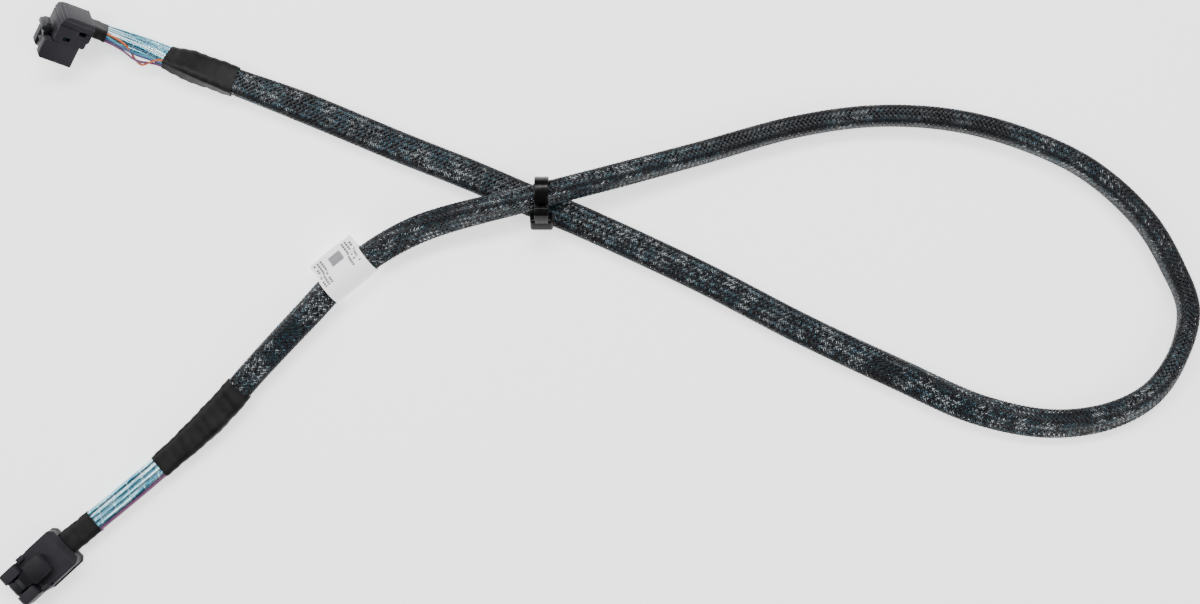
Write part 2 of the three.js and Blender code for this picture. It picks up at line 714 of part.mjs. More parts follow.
// Assembly

function part(name, geometry, finish) {
  const shape = geometry.isBufferGeometry ? geometry : geometryOf(geometry);
  const mesh = new THREE.Mesh(shape, new THREE.MeshStandardMaterial(finish));
  mesh.name = name;
  return mesh;
}

function straightPlug() {
  const group = new THREE.Group();
  const housing = straightHousing();
  group.add(
    part('straight_lower_shell', below(housing, SPLIT_HEIGHT), CHARCOAL),
    part('straight_upper_shell', above(housing, SPLIT_HEIGHT), CHARCOAL),
    part('straight_latch', latch(STRAIGHT_LEVER), PAD_BLACK),
    part('straight_card_lower', edgeCard(STRAIGHT_CARD_LENGTH, -1), CARD_GREEN),
    part('straight_card_upper', edgeCard(STRAIGHT_CARD_LENGTH, 1), CARD_GREEN),
    part('straight_card_holder', cardHolder(), HOLDER_BLACK),
  );
  const entry = new THREE.Vector3(...ROUTE[AT.straightEntry]);
  const inside = new THREE.Vector3(...ROUTE[AT.end]);
  const forward = inside.sub(entry).setZ(0).normalize();
  const up = new THREE.Vector3(0, 0, 1);
  const left = up.clone().cross(forward);
  group.setRotationFromMatrix(new THREE.Matrix4().makeBasis(forward, left, up));
  group.position.copy(entry).addScaledVector(forward, STRAIGHT_LENGTH).addScaledVector(up, -SPLIT_HEIGHT);
  return group;
}

function angledPlug() {
  const group = new THREE.Group();
  const housing = angledHousing();
  group.add(
    part('angled_front_shell', ahead(housing, -COVER_CUT), CHARCOAL),
    part('angled_back_cover', behind(housing, -COVER_CUT), CHARCOAL),
    part('angled_latch', latch(ANGLED_LEVER), PAD_BLACK),
    part('angled_card_lower', edgeCard(ANGLED_CARD_LENGTH, -1), CARD_GREEN),
    part('angled_card_upper', edgeCard(ANGLED_CARD_LENGTH, 1), CARD_GREEN),
    part('angled_card_holder', cardHolder(), HOLDER_BLACK),
  );
  const exit = new THREE.Vector3(...ROUTE[AT.angledExit]);
  const inside = new THREE.Vector3(...ROUTE[AT.start]);
  const out = exit.clone().sub(inside).normalize();
  const level = new THREE.Vector3(0, 0, 1).cross(out).normalize();
  const rise = out.clone().cross(level);
  const roll = THREE.MathUtils.degToRad(ANGLED_ROLL);
  const forward = level.clone().multiplyScalar(-Math.cos(roll)).addScaledVector(rise, -Math.sin(roll));
  const up = out.clone().negate();
  const left = up.clone().cross(forward);
  group.setRotationFromMatrix(new THREE.Matrix4().makeBasis(forward, left, up));
  group.position.copy(exit).addScaledVector(forward, EXIT_BACK).addScaledVector(up, BOSS_DROP);
  return group;
}

function labelMesh() {
  const { outer, inner } = wrapLabel();
  const geometry = new THREE.ExtrudeGeometry(ringShape(outer, inner), { depth: LABEL_LENGTH, bevelEnabled: false });
  geometry.translate(0, 0, -LABEL_LENGTH / 2);
  const mesh = part('wrap_label', geometryOf(solidOf(geometry)), PAPER);
  const { origin, along, left, up } = frameAt(AT.label);
  mesh.setRotationFromMatrix(new THREE.Matrix4().makeBasis(left, up, along));
  mesh.position.copy(origin).addScaledVector(left, LABEL_SHIFT);
  return mesh;
}

function tieMesh() {
  const mesh = part('cable_tie', cableTie(), NYLON);
  const across = new THREE.Vector3(1, 0, 0);
  const back = new THREE.Vector3(0, 1, 0);
  const up = new THREE.Vector3(0, 0, 1);
  mesh.setRotationFromMatrix(new THREE.Matrix4().makeBasis(back, up, across));
  mesh.position.set(TIE_X, 0, 0);
  return mesh;
}

function cable() {
  const group = new THREE.Group();
  group.add(
    part('ribbon_upper', ribbon(RIBBON_PITCH / 2), FOIL),
    part('ribbon_lower', ribbon(-RIBBON_PITCH / 2), FOIL),
  );
  WIRE_COLOURS.slice(0, WIRE_COUNT).forEach((color, i) => {
    group.add(part(`sideband_wire_${i + 1}`, sidebandWire(i), { color, roughness: 0.4, metalness: 0 }));
  });
  group.add(
    part('braided_sleeve', braidedSleeve(), BRAID),
    part('angled_end_tape', endTape(AT.angledExit + 0.06, AT.angledTapeEnd), TAPE),
    part('straight_end_tape', endTape(AT.straightTapeStart, AT.straightEntry - 0.03), TAPE),
    part('angled_sleeve_wrap', sleeveWrap(AT.angledWrapStart, AT.angledWrapStep, AT.angledWrapEnd), TAPE),
    part(
      'straight_sleeve_wrap',
      sleeveWrap(AT.straightWrapEnd, AT.straightWrapStep, AT.straightWrapStart),
      TAPE,
    ),
    labelMesh(),
    tieMesh(),
  );
  return group;
}

const assembly = new THREE.Group();
assembly.add(cable(), straightPlug(), angledPlug());

export default assembly;
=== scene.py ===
# %% [markdown]
# # A braided data cable with two latching plugs
# The cable lies on a pale floor in one loose loop. Two flat foil ribbons and four thin wires run from the
# right-angle plug at the upper left to the straight plug at the lower left, inside a braided sleeve.
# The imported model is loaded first, as a fixed frame: every new piece is placed in its space, in metres.

# %% Load the frame
import json
import math

import bmesh
import bpy
import numpy as np
from mathutils import Matrix, Vector


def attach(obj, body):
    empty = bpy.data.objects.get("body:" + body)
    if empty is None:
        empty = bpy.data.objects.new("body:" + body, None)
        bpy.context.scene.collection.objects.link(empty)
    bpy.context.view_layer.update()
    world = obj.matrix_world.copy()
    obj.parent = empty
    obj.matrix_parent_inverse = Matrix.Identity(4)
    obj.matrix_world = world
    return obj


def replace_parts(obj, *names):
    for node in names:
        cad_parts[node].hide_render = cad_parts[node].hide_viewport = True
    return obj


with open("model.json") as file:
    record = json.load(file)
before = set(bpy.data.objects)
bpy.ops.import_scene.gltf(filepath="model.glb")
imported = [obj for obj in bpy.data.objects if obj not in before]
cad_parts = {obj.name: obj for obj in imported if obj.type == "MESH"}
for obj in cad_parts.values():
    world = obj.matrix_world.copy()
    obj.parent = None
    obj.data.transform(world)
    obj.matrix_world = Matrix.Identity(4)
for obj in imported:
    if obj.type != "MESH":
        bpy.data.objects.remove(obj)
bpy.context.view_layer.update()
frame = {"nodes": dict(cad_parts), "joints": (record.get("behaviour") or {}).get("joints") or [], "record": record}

bpy.ops.object.select_all(action="DESELECT")
MM = 0.001

# %% [markdown]
# ## Camera, floor and light
# The cable was seen from straight above, so the camera looks down the Z axis. A 60 mm lens on a 36 mm
# sensor at 690 mm sees 414 mm across, which makes each plug its real size in the picture. The light is what
# a product table gives: one broad soft lamp behind, one at each side, a dim room, and a floor that glows
# a little, as a lit table does, so that it comes out nearly white while the black cable stays black.

# %% Camera
VIEW_HEIGHT, LENS, SENSOR = 0.690, 60, 36
camera_data = bpy.data.cameras.new("camera")
camera_data.lens = LENS
camera_data.sensor_width = SENSOR
camera_data.clip_start = 0.01
camera = bpy.data.objects.new("camera", camera_data)
camera.location = (0, 0, VIEW_HEIGHT)
bpy.context.scene.collection.objects.link(camera)
bpy.context.scene.camera = camera
print("the camera sees", round(1000 * VIEW_HEIGHT * SENSOR / LENS), "mm across")


# %% Lamps
def soft_lamp(name, place, target, size, watts):
    data = bpy.data.lights.new(name, "AREA")
    data.shape = "RECTANGLE"
    data.size, data.size_y = size
    data.energy = watts
    lamp = bpy.data.objects.new(name, data)
    lamp.location = place
    aim = Vector(target) - Vector(place)
    lamp.rotation_euler = aim.to_track_quat("-Z", "Y").to_euler()
    bpy.context.scene.collection.objects.link(lamp)
    return lamp


soft_lamp("lamp_back", (-0.05, 0.50, 0.95), (0, 0, 0), (0.9, 0.25), 12)
soft_lamp("lamp_left", (-0.80, 0.10, 0.70), (-0.05, 0, 0), (0.25, 0.9), 6)
soft_lamp("lamp_right", (0.75, -0.30, 0.80), (0.05, 0, 0), (0.25, 0.8), 5)
world = bpy.data.worlds.new("bright_room")
world.use_nodes = True
world.node_tree.nodes["Background"].inputs["Color"].default_value = (1, 1, 1, 1)
world.node_tree.nodes["Background"].inputs["Strength"].default_value = 0.25
bpy.context.scene.world = world

# %% [markdown]
# ## A little shader arithmetic
# Patterns such as foil creases are sums and products of noise and waves. Writing them as Python
# expressions keeps them readable, so a small class wraps one output socket, and every operator on it adds
# the Math node that does the work. Any other node comes from one method of the paint that owns the nodes.


# %% Signal and Paint
class Signal:
    """One output socket, used like a number."""

    def __init__(self, paint, socket):
        self.paint, self.socket = paint, socket

    def maths(self, operation, *values, clamp=False):
        settings = {"operation": operation, "use_clamp": clamp}
        return self.paint.node("ShaderNodeMath", settings, dict(enumerate(values)))

    def __add__(self, other):
        return self.maths("ADD", self, other)

    def __sub__(self, other):
        return self.maths("SUBTRACT", self, other)

    def __rsub__(self, other):
        return self.maths("SUBTRACT", other, self)

    def __mul__(self, other):
        return self.maths("MULTIPLY", self, other)

    def __truediv__(self, other):
        return self.maths("DIVIDE", self, other)

    __radd__, __rmul__ = __add__, __mul__

    def size(self):
        return self.maths("ABSOLUTE", self)

    def part(self):
        return self.maths("FRACT", self)

    def whole(self):
        return self.maths("FLOOR", self)

    def above(self, edge, soft=0.02):
        return self.maths("MULTIPLY", self - (edge - soft / 2), 1 / soft, clamp=True)


class Paint:
    """A Principled material with constants on its own sockets and patterns linked where they vary."""

    def __init__(self, name, colour, roughness, **constants):
        self.material = bpy.data.materials.new(name)
        self.material.use_nodes = True
        self.tree = self.material.node_tree
        self.shader = self.tree.nodes["Principled BSDF"]
        self.wear("Base Color", (*colour, 1))
        self.wear("Roughness", roughness)
        for socket, value in constants.items():
            self.wear(socket.replace("_", " "), value)

    def node(self, kind, settings, values, output=0):
        made = self.tree.nodes.new(kind)
        for key, value in settings.items():
            if key == "stops":
                for place, colour in value[2:]:
                    made.color_ramp.elements.new(place)
                for element, (place, colour) in zip(made.color_ramp.elements, value):
                    element.position, element.color = place, (*colour, 1)
            else:
                setattr(made, key, value)
        for key, value in values.items():
            self.feed(made.inputs[key], value)
        return Signal(self, made.outputs[output])

    def feed(self, socket, value):
        if isinstance(value, Signal):
            self.tree.links.new(value.socket, socket)
        else:
            socket.default_value = value

    def wear(self, socket, value):
        self.feed(self.shader.inputs[socket], value)

    def place(self):
        return self.node("ShaderNodeTexCoord", {}, {}, "Object")

    def run(self):
        """Position on the piece's own UV map: across it and along it, in millimetres."""
        uv = self.node("ShaderNodeUVMap", {"uv_map": "run"}, {})
        split = self.node("ShaderNodeSeparateXYZ", {}, {0: uv})
        return split, Signal(self, split.socket.node.outputs[1])

    def grain(self, where, scale, detail=2.0, rough=0.5):
        values = {"Vector": where, "Scale": scale, "Detail": detail, "Roughness": rough}
        return self.node("ShaderNodeTexNoise", {}, values)

    def vector(self, x, y, z=0.0):
        return self.node("ShaderNodeCombineXYZ", {}, {0: x, 1: y, 2: z})

    def ramp(self, signal, *stops):
        return self.node("ShaderNodeValToRGB", {"stops": stops}, {"Fac": signal})

    def blend(self, amount, first, second):
        values = {0: amount, 6: (*first, 1) if isinstance(first, tuple) else first,
                  7: (*second, 1) if isinstance(second, tuple) else second}
        return self.node("ShaderNodeMix", {"data_type": "RGBA"}, values, 2)

    def bump(self, height, distance, strength=1.0):
        values = {"Height": height, "Distance": distance, "Strength": strength}
        self.wear("Normal", self.node("ShaderNodeBump", {}, values))


# %% Floor
FLOOR_SIZE, FLOOR_DROP = 6, 0.0002
bpy.ops.mesh.primitive_plane_add(size=FLOOR_SIZE, location=(0, 0, -FLOOR_DROP))
floor = bpy.context.object
floor.name = "floor"
floor_paint = Paint("pale_floor", (0.93, 0.93, 0.93), 0.9, Emission_Color=(1, 1, 1, 1),
                    Emission_Strength=1.3)
floor.data.materials.append(floor_paint.material)
print("the floor lies at", round(floor.location.z * 1000, 2), "mm")

# %% [markdown]
# ## The route of the cable
# A cable is one smooth line with things laid along it, so its line comes before its surface. Each row is a
# point of the line in metres, with the roll of the flat core in degrees and how full the sleeve is there,
# as shares of its thickness and of its width.
# The flat core turns over once between the plugs, which is why the wires change sides. The places where
# tapes, sleeve and label begin and end are numbers of rows, and parts of a row are allowed.

# %% Route
ROUTE = np.array([
    (-0.1775, 0.0949, 0.0113, -67, 1, 0.85), (-0.1740, 0.0937, 0.0089, -67, 1, 0.85),
    (-0.1690, 0.0919, 0.0055, -66, 1, 0.85), (-0.1608, 0.0890, 0.0044, -58, 1, 0.85),
    (-0.1543, 0.0865, 0.0049, -50, 1, 0.85), (-0.1481, 0.0838, 0.0056, -40, 0.85, 0.85),
    (-0.1249, 0.0754, 0.0049, -10, 0.85, 0.86), (-0.1019, 0.0669, 0.0038, 0, 1, 1),
    (-0.0676, 0.0527, 0.0037, 0, 1, 1), (-0.0436, 0.0432, 0.0039, 0, 0.96, 1),
    (-0.0247, 0.0351, 0.0046, 0, 0.85, 1), (-0.0069, 0.0278, 0.0042, 0, 0.96, 1),
    (0.0343, 0.0088, 0.0037, 0, 1, 1), (0.0686, -0.0089, 0.0037, 0, 1, 1),
    (0.1028, -0.0250, 0.0043, 12, 1, 1), (0.1301, -0.0370, 0.0052, 36, 1, 1),
    (0.1542, -0.0416, 0.0055, 50, 1, 1), (0.1747, -0.0389, 0.0056, 56, 1, 1),
    (0.1889, -0.0312, 0.0056, 64, 1, 1), (0.1979, -0.0181, 0.0056, 74, 1, 1),
    (0.2013, -0.0027, 0.0056, 84, 1, 1), (0.1956, 0.0127, 0.0055, 90, 1, 1),
    (0.1864, 0.0279, 0.0055, 92, 1, 1), (0.1688, 0.0442, 0.0055, 92, 1, 1),
    (0.1496, 0.0541, 0.0055, 92, 1, 1), (0.1232, 0.0618, 0.0055, 92, 1, 1),
    (0.0958, 0.0637, 0.0055, 92, 1, 1), (0.0681, 0.0602, 0.0056, 94, 1, 1),
    (0.0335, 0.0506, 0.0072, 100, 1, 1), (0.0065, 0.0431, 0.0110, 108, 0.95, 1),
    (-0.0244, 0.0349, 0.0135, 115, 0.85, 1), (-0.0631, 0.0242, 0.0094, 131, 0.95, 0.95),
    (-0.0862, 0.0099, 0.0075, 142, 0.85, 0.9), (-0.1004, -0.0045, 0.0062, 155, 0.95, 0.87),
    (-0.1175, -0.0226, 0.0049, 170, 0.9, 0.86), (-0.1328, -0.0398, 0.0045, 180, 0.85, 0.86),
    (-0.1509, -0.0564, 0.0043, 180, 0.85, 0.86), (-0.1718, -0.0739, 0.0043, 180, 1, 0.86),
    (-0.1825, -0.0827, 0.0043, 180, 1, 0.86), (-0.1894, -0.0891, 0.0043, 180, 1, 0.86),
])
AT = {
    "start": 0, "angled_exit": 1, "angled_tape_end": 2, "angled_wrap_start": 5, "angled_wrap_step": 5.4,
    "sleeve_start": 5.6, "angled_wrap_end": 6, "label": 32, "straight_wrap_start": 34.4, "sleeve_end": 34.75,
    "straight_wrap_step": 34.9, "straight_wrap_end": 36, "straight_tape_start": 37.1, "straight_entry": 38,
    "end": 39,
}


def curve_points(at):
    """Centripetal Catmull-Rom through the route's points, and its direction."""
    at = np.asarray(at, float)
    line = ROUTE[:, :3]
    line = np.vstack([2 * line[0] - line[1], line, 2 * line[-1] - line[-2]])
    i = np.clip(np.floor(at).astype(int), 0, len(ROUTE) - 2)
    t = (at - i)[:, None]
    p = [line[i + k] for k in range(4)]
    d = [np.maximum(np.linalg.norm(p[k + 1] - p[k], axis=1), 1e-9)[:, None] ** 0.5 for k in range(3)]
    first = (p[1] - p[0]) / d[0] - (p[2] - p[0]) / (d[0] + d[1]) + (p[2] - p[1]) / d[1]
    second = (p[2] - p[1]) / d[1] - (p[3] - p[1]) / (d[1] + d[2]) + (p[3] - p[2]) / d[2]
    first, second = first * d[1], second * d[1]
    a = 2 * p[1] - 2 * p[2] + first + second
    b = -3 * p[1] + 3 * p[2] - 2 * first - second
    return ((a * t + b) * t + first) * t + p[1], (3 * a * t + 2 * b) * t + first


def unit(vectors):
    return vectors / np.linalg.norm(vectors, axis=1, keepdims=True)


class Stations:
    """Frames along the route: where the core is, and its sideways and upward directions."""

    def __init__(self, at):
        self.at = np.asarray(at, float)
        self.origin, along = curve_points(self.at)
        self.along = unit(along)
        self.left = unit(np.cross([0, 0, 1], self.along))
        self.up = np.cross(self.along, self.left)
        rows = np.arange(len(ROUTE))
        roll = np.radians(np.interp(self.at, rows, ROUTE[:, 3]))[:, None]
        self.side = self.left * np.cos(roll) + self.up * np.sin(roll)
        self.normal = self.up * np.cos(roll) - self.left * np.sin(roll)
        self.swell = np.interp(self.at, rows, ROUTE[:, 4])
        self.girth = np.interp(self.at, rows, ROUTE[:, 5])

    def spread(self, x, y):
        """Points x to the side of the line and y above it, one row per station, in millimetres."""
        x, y = np.atleast_2d(x) * MM, np.atleast_2d(y) * MM
        return self.origin[:, None] + self.side[:, None] * x[..., None] + self.normal[:, None] * y[..., None]


fine_at = np.linspace(0, len(ROUTE) - 1, 8001)
fine_points = curve_points(fine_at)[0]
fine_run = np.concatenate([[0], np.cumsum(np.linalg.norm(np.diff(fine_points, axis=0), axis=1))])


# %% Even steps along the route
def run_of(at):
    return np.interp(at, fine_at, fine_run)


def evenly(start, end, step):
    """Places from start to end, about one step of so many millimetres apart."""
    low, high = run_of(start), run_of(end)
    count = max(2, int(round((high - low) / (step * MM))) + 1)
    return np.interp(np.linspace(low, high, count), fine_run, fine_at)


print("sleeve:", round((run_of(AT["sleeve_end"]) - run_of(AT["sleeve_start"])) * 1000), "mm long")


# %% [markdown]
# ## Skinning a row of rings
# Cords and films are the one family made in mesh code here: a ring of points is laid at every station and
# the rings are joined with quads. A tube has closed ends, and its UV map counts millimetres across and along
# the piece, so that creases, filaments and windings follow the surface.


# %% Tube from rings
def strip_faces(stations, count, first=0):
    """Quads between neighbouring rings of count points, numbered from first."""
    row = np.arange(stations - 1)[:, None] * count
    col = np.arange(count)
    nxt = (col + 1) % count
    return np.stack([row + col, row + nxt, row + nxt + count, row + col + count], -1).reshape(-1, 4) + first


def closed_faces(stations, count, first=0):
    """The same quads, and one face over the first ring and one over the last."""
    last = first + (stations - 1) * count
    ends = [list(range(first, first + count))[::-1], list(range(last, last + count))]
    return strip_faces(stations, count, first).tolist() + ends


def tube(name, rings, across, along, paint):
    """rings: stations x points x 3. across and along: the UV map's numbers, in millimetres."""
    stations, count = rings.shape[:2]
    mesh = bpy.data.meshes.new(name)
    mesh.from_pydata(rings.reshape(-1, 3).tolist(), [], closed_faces(stations, count))
    layer = mesh.uv_layers.new(name="run")
    end = np.append(across[1:], across[0] + 2 * (across[-1] - across[-2]))
    u = np.broadcast_to(np.stack([across, end, end, across], -1), (stations - 1, count, 4))
    v = np.stack([along[:-1], along[:-1], along[1:], along[1:]], -1)
    v = np.broadcast_to(v[:, None], (stations - 1, count, 4))
    flat = np.stack([u, v], -1).reshape(-1, 2)
    uv = np.zeros((len(mesh.loops), 2))
    uv[: len(flat)] = flat
    layer.data.foreach_set("uv", uv.ravel())
    mesh.shade_smooth()
    return piece(name, mesh, paint)


def piece(name, mesh, paint, body="cable"):
    made = bpy.data.objects.new(name, mesh)
    bpy.context.scene.collection.objects.link(made)
    made.data.materials.append(paint.material)
    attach(made, body)
    return made


def facing_out(made):
    """Turns the faces of a closed piece outwards."""
    shape = bmesh.new()
    shape.from_mesh(made.data)
    bmesh.ops.recalc_face_normals(shape, faces=shape.faces)
    shape.to_mesh(made.data)
    shape.free()
    return made


print("helpers ready")

# %% [markdown]
# ## Foil ribbons
# Each flat ribbon holds four shielded pairs side by side under one metallised film, so it has four low
# crests. The film is a thin blue-green metal with fine cross creases where it was wound on. A metallic
# shader with stretched noise gives the creases, and the crests catch the light as lengthwise lines.

# %% Foil finish
FILM_HALF_ROUND = 7.77    # once across one face of the ribbon, over its crests
foil = Paint("blue_foil", (0.16, 0.42, 0.52), 0.3, Metallic=0.9, Coat_Weight=0.3, Coat_Roughness=0.2)
foil_across, foil_along = foil.run()
slant = foil_along + foil_across * 0.35
creases = foil.grain(foil.vector(foil_across * 0.35, slant * 1.6), 1.0, 3.0, 0.6)
patches = foil.grain(foil.vector(foil_across * 0.6, foil_along * 0.07 + foil_across * 0.2), 1.0, 2.0)
windings = (slant * 0.16).part().above(0.94, 0.06)
tint = foil.ramp(patches, (0.34, (0.02, 0.13, 0.22)), (0.5, (0.14, 0.42, 0.54)),
                 (0.66, (0.62, 0.88, 0.95)))
edge_line = ((foil_across / FILM_HALF_ROUND).part() - 0.5).size().above(0.46, 0.03)
bright = foil.blend(windings * 0.5, tint, (0.75, 0.86, 0.9))
foil.wear("Base Color", foil.blend(edge_line, bright, (0.88, 0.91, 0.93)))
foil.wear("Roughness", 0.14 + creases * 0.22)
foil.bump(creases + windings * 0.3, 0.0003, 0.8)

# %% Ribbons
LAYER_GAP, WIRE_DIAMETER, WIRE_PITCH = 0.15, 0.7, 0.9
RIBBON_WIDTH, RIBBON_THICK, RIBBON_PITCH = 6.9, 1.7, 2.1
RIBBON_PAIRS, SEALED_HALF = 4, 0.28    # crests across a ribbon, and half its thickness at the sealed edges
CORE_WIDTH = RIBBON_WIDTH + LAYER_GAP + WIRE_DIAMETER
RIBBON_SIDE = (CORE_WIDTH - RIBBON_WIDTH) / 2


def ribbon_ring():
    """Outline of a ribbon: four rounded crests above and below, and thin sealed edges."""
    x = np.linspace(RIBBON_WIDTH / 2, -RIBBON_WIDTH / 2, 29)
    lobe = np.abs(np.sin((x / RIBBON_WIDTH + 0.5) * RIBBON_PAIRS * math.pi)) ** 0.55
    y = SEALED_HALF + (RIBBON_THICK / 2 - SEALED_HALF) * lobe
    return np.concatenate([x, x[::-1]]), np.concatenate([y, -y[::-1]])


def ribbon(node, lift):
    stations = Stations(evenly(AT["start"], AT["end"], 2.5))
    x, y = ribbon_ring()
    rings = stations.spread(x + RIBBON_SIDE, y + lift)
    across = np.concatenate([[0], np.cumsum(np.hypot(np.diff(x), np.diff(y)))])
    made = facing_out(tube(node + "_film", rings, across, run_of(stations.at) / MM, foil))
    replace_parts(made, node)
    return made, stations.spread([[RIBBON_SIDE]], [[lift]])[:, 0]


ribbon_over, line_over = ribbon("ribbon_upper", RIBBON_PITCH / 2)
ribbon_under, line_under = ribbon("ribbon_lower", -RIBBON_PITCH / 2)
print("ribbons:", len(ribbon_over.data.polygons), "faces each")

# %% [markdown]
# ## Sideband wires
# Four thin coloured wires run beside the ribbons. Where the cable is bare by the right-angle plug they bow
# away from the film and twist round each other, as loose wires do between two tapes. They are tubes of
# ten points, and a smooth hump along the route moves them out and back.

# %% Wire finishes
WIRE_COLOURS = {"purple": (0.12, 0.020, 0.09), "blue": (0.012, 0.035, 0.15),
                "cyan": (0.03, 0.27, 0.36), "orange": (0.50, 0.10, 0.018)}
jackets = {}
for colour, tone in WIRE_COLOURS.items():
    jacket = Paint("jacket_" + colour, tone, 0.35, Coat_Weight=0.2)
    mottle = jacket.grain(jacket.place(), 900.0, 2.0)
    jacket.wear("Roughness", 0.28 + mottle * 0.2)
    jacket.wear("Base Color", jacket.blend(mottle * 0.4, tone, tuple(0.5 * t for t in tone)))
    jackets[colour] = jacket
print("wire colours:", ", ".join(jackets))

# %% Wires
WIRE_BOWS = {"purple": 2.5, "blue": 1.5, "cyan": 1.3, "orange": 3.9}      # sideways, at the middle of the bow
WIRE_RISES = {"purple": 0.4, "blue": 0.7, "cyan": 0.1, "orange": -1.3}    # upwards there
WIRE_LAGS = {"purple": 1.3, "blue": 1.0, "cyan": 0.8, "orange": 1.6}      # above 1, the bow's top comes later
JACKET = 0.86         # over the wire's soft jacket, which its neighbours touch
GATHER = 0.55         # how much of the space between the wires is lost at the top of the bow
TWIST, TWIST_SIDE, TWIST_LIFT = 2.6, 0.3, 0.2    # radians over the bow, and how far aside and up
WIRE_SIDE = (WIRE_DIAMETER - CORE_WIDTH) / 2


def wire(index, colour):
    stations = Stations(evenly(AT["start"], AT["end"], 1.5))
    span = (stations.at - AT["angled_tape_end"]) / (AT["angled_wrap_start"] - AT["angled_tape_end"])
    span = np.clip(span, 0, 1) ** WIRE_LAGS[colour]
    hump = np.sin(math.pi * span) ** 2
    turn = math.pi / 2 * index + TWIST * span
    lift = (index - 1.5) * WIRE_PITCH * (1 - GATHER * hump)
    bow = WIRE_BOWS[colour] * hump + TWIST_SIDE * hump * np.cos(turn)
    rise = WIRE_RISES[colour] * hump + TWIST_LIFT * hump * np.sin(turn)
    centre = stations.spread(np.full((1, 1), WIRE_SIDE), lift[:, None])[:, 0]
    centre = centre - stations.left * bow[:, None] * MM + stations.up * rise[:, None] * MM
    angle = np.arange(10) * math.tau / 10
    x, y = 0.5 * JACKET * MM * np.cos(angle), 0.5 * JACKET * MM * np.sin(angle)
    rings = centre[:, None] + stations.side[:, None] * x[:, None] + stations.normal[:, None] * y[:, None]
    along = run_of(stations.at) / MM
    made = tube(f"wire_{colour}", rings, angle * 0.5, along, jackets[colour])
    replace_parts(facing_out(made), f"sideband_wire_{index + 1}")
    return made, centre


wires = [wire(index, colour) for index, colour in enumerate(WIRE_COLOURS)]
print("wires:", len(wires))

# %% [markdown]
# ## Braided sleeve
# Expandable sleeving is a tube of stiff black filaments. Sixteen carriers wind to the left and sixteen to
# the right, each carrying two filaments side by side, and each goes over one carrier and under the next.
# Every carrier is a real strip with two rounded backs: its line turns about the sleeve's rounded section
# as it runs along the route, and a wave lifts and sinks it. Teal-white glints are painted in patches on
# the strips' edges, a painted highlight that stands in for the foil shining between them. They gather where
# the ribbons' crests press outwards, so a "crest" attribute on the mesh says how near to such a line each
# point is.

# %% Filament finish
STRAND_SHIFT = 5.0     # between neighbouring strips on the UV map, in millimetres
filament = Paint("black_filament", (0.006, 0.006, 0.008), 0.34, Specular_IOR_Level=0.25)
strand_across, strand_along = filament.run()
streak = filament.grain(filament.vector(strand_across * 2.2, strand_along * 0.25), 1.0, 2.0)
filament.wear("Roughness", 0.26 + streak * 0.26)
black_tone = filament.ramp(streak, (0.35, (0.003, 0.003, 0.004)), (0.7, (0.012, 0.012, 0.016)))
# painted highlight: the strips' edges turn teal-white in patches near the crest lines, glints painted on the black
# filaments
rim = ((strand_across / STRAND_SHIFT + 0.5).part() - 0.5).size().above(0.27 / STRAND_SHIFT, 0.02)
sparkle = filament.grain(filament.place(), 620.0, 2.0, 0.7).above(0.49, 0.06)
crest = filament.node("ShaderNodeAttribute", {"attribute_name": "crest"}, {}, "Fac")
zones = filament.grain(filament.place(), 38.0, 2.0).above(0.44, 0.16)
painted_glint = filament.ramp(filament.grain(filament.place(), 170.0, 2.0),
                      (0.38, (0.03, 0.10, 0.14)), (0.48, (0.20, 0.38, 0.46)), (0.58, (0.78, 0.86, 0.90)))
filament.wear("Base Color", filament.blend(rim * sparkle * zones * (crest * 0.92 + 0.08), black_tone, painted_glint))

# %% Section of the sleeve
SLEEVE_WIDTH, SLEEVE_THICK = 10.8, 7.2


def rounded_outline(half_width, half_thick, radius, count):
    """Evenly spaced points round a rounded rectangle from its right side, and their outward normals."""
    corners = []
    for quarter, (sx, sy) in enumerate([(1, 1), (-1, 1), (-1, -1), (1, -1)]):
        angle = (quarter + np.linspace(0, 1, 25)) * math.pi / 2
        centre = np.array([sx * (half_width - radius), sy * (half_thick - radius)])
        arc = np.stack([np.cos(angle), np.sin(angle)], -1)
        corners.append(np.hstack([centre + radius * arc, arc]))
    loop = np.vstack(corners + [corners[0][:1]])
    run = np.concatenate([[0], np.cumsum(np.linalg.norm(np.diff(loop[:, :2], axis=0), axis=1))])
    spots = np.arange(count) / count * run[-1]
    points = np.stack([np.interp(spots, run, loop[:, k]) for k in range(4)], -1)
    return points[:, :2], points[:, 2:], run[-1]


sleeve_points, sleeve_normals, sleeve_girth = rounded_outline(
    SLEEVE_WIDTH / 2, SLEEVE_THICK / 2, SLEEVE_THICK * 0.36, 720)
print("round the sleeve:", round(sleeve_girth, 1), "mm")

# %% Carriers
CARRIERS = 16          # each way
TURN = 26.0            # millimetres of cable for one turn of a carrier
CREST_SPREAD = 8.6     # across the four crests, as they show through the sleeve
CREST_SOFT = 0.4       # how wide a ribbon's edge shows through it
WEAVE_SINK, WEAVE_LIFT = 0.36, 0.17    # a carrier's mean depth under the outline, and its wave
STRIP_ACROSS = np.array([-0.45, -0.23, 0.0, 0.23, 0.45, 0.0])
STRIP_HEIGHT = np.array([0.00, 0.14, 0.04, 0.14, 0.00, -0.10])
sleeve_at = evenly(AT["sleeve_start"], AT["sleeve_end"], TURN / CARRIERS / 4)
sleeve_stations = Stations(sleeve_at)
sleeve_run = (run_of(sleeve_at) - run_of(sleeve_at[0])) / MM
shake = np.random.default_rng(7)


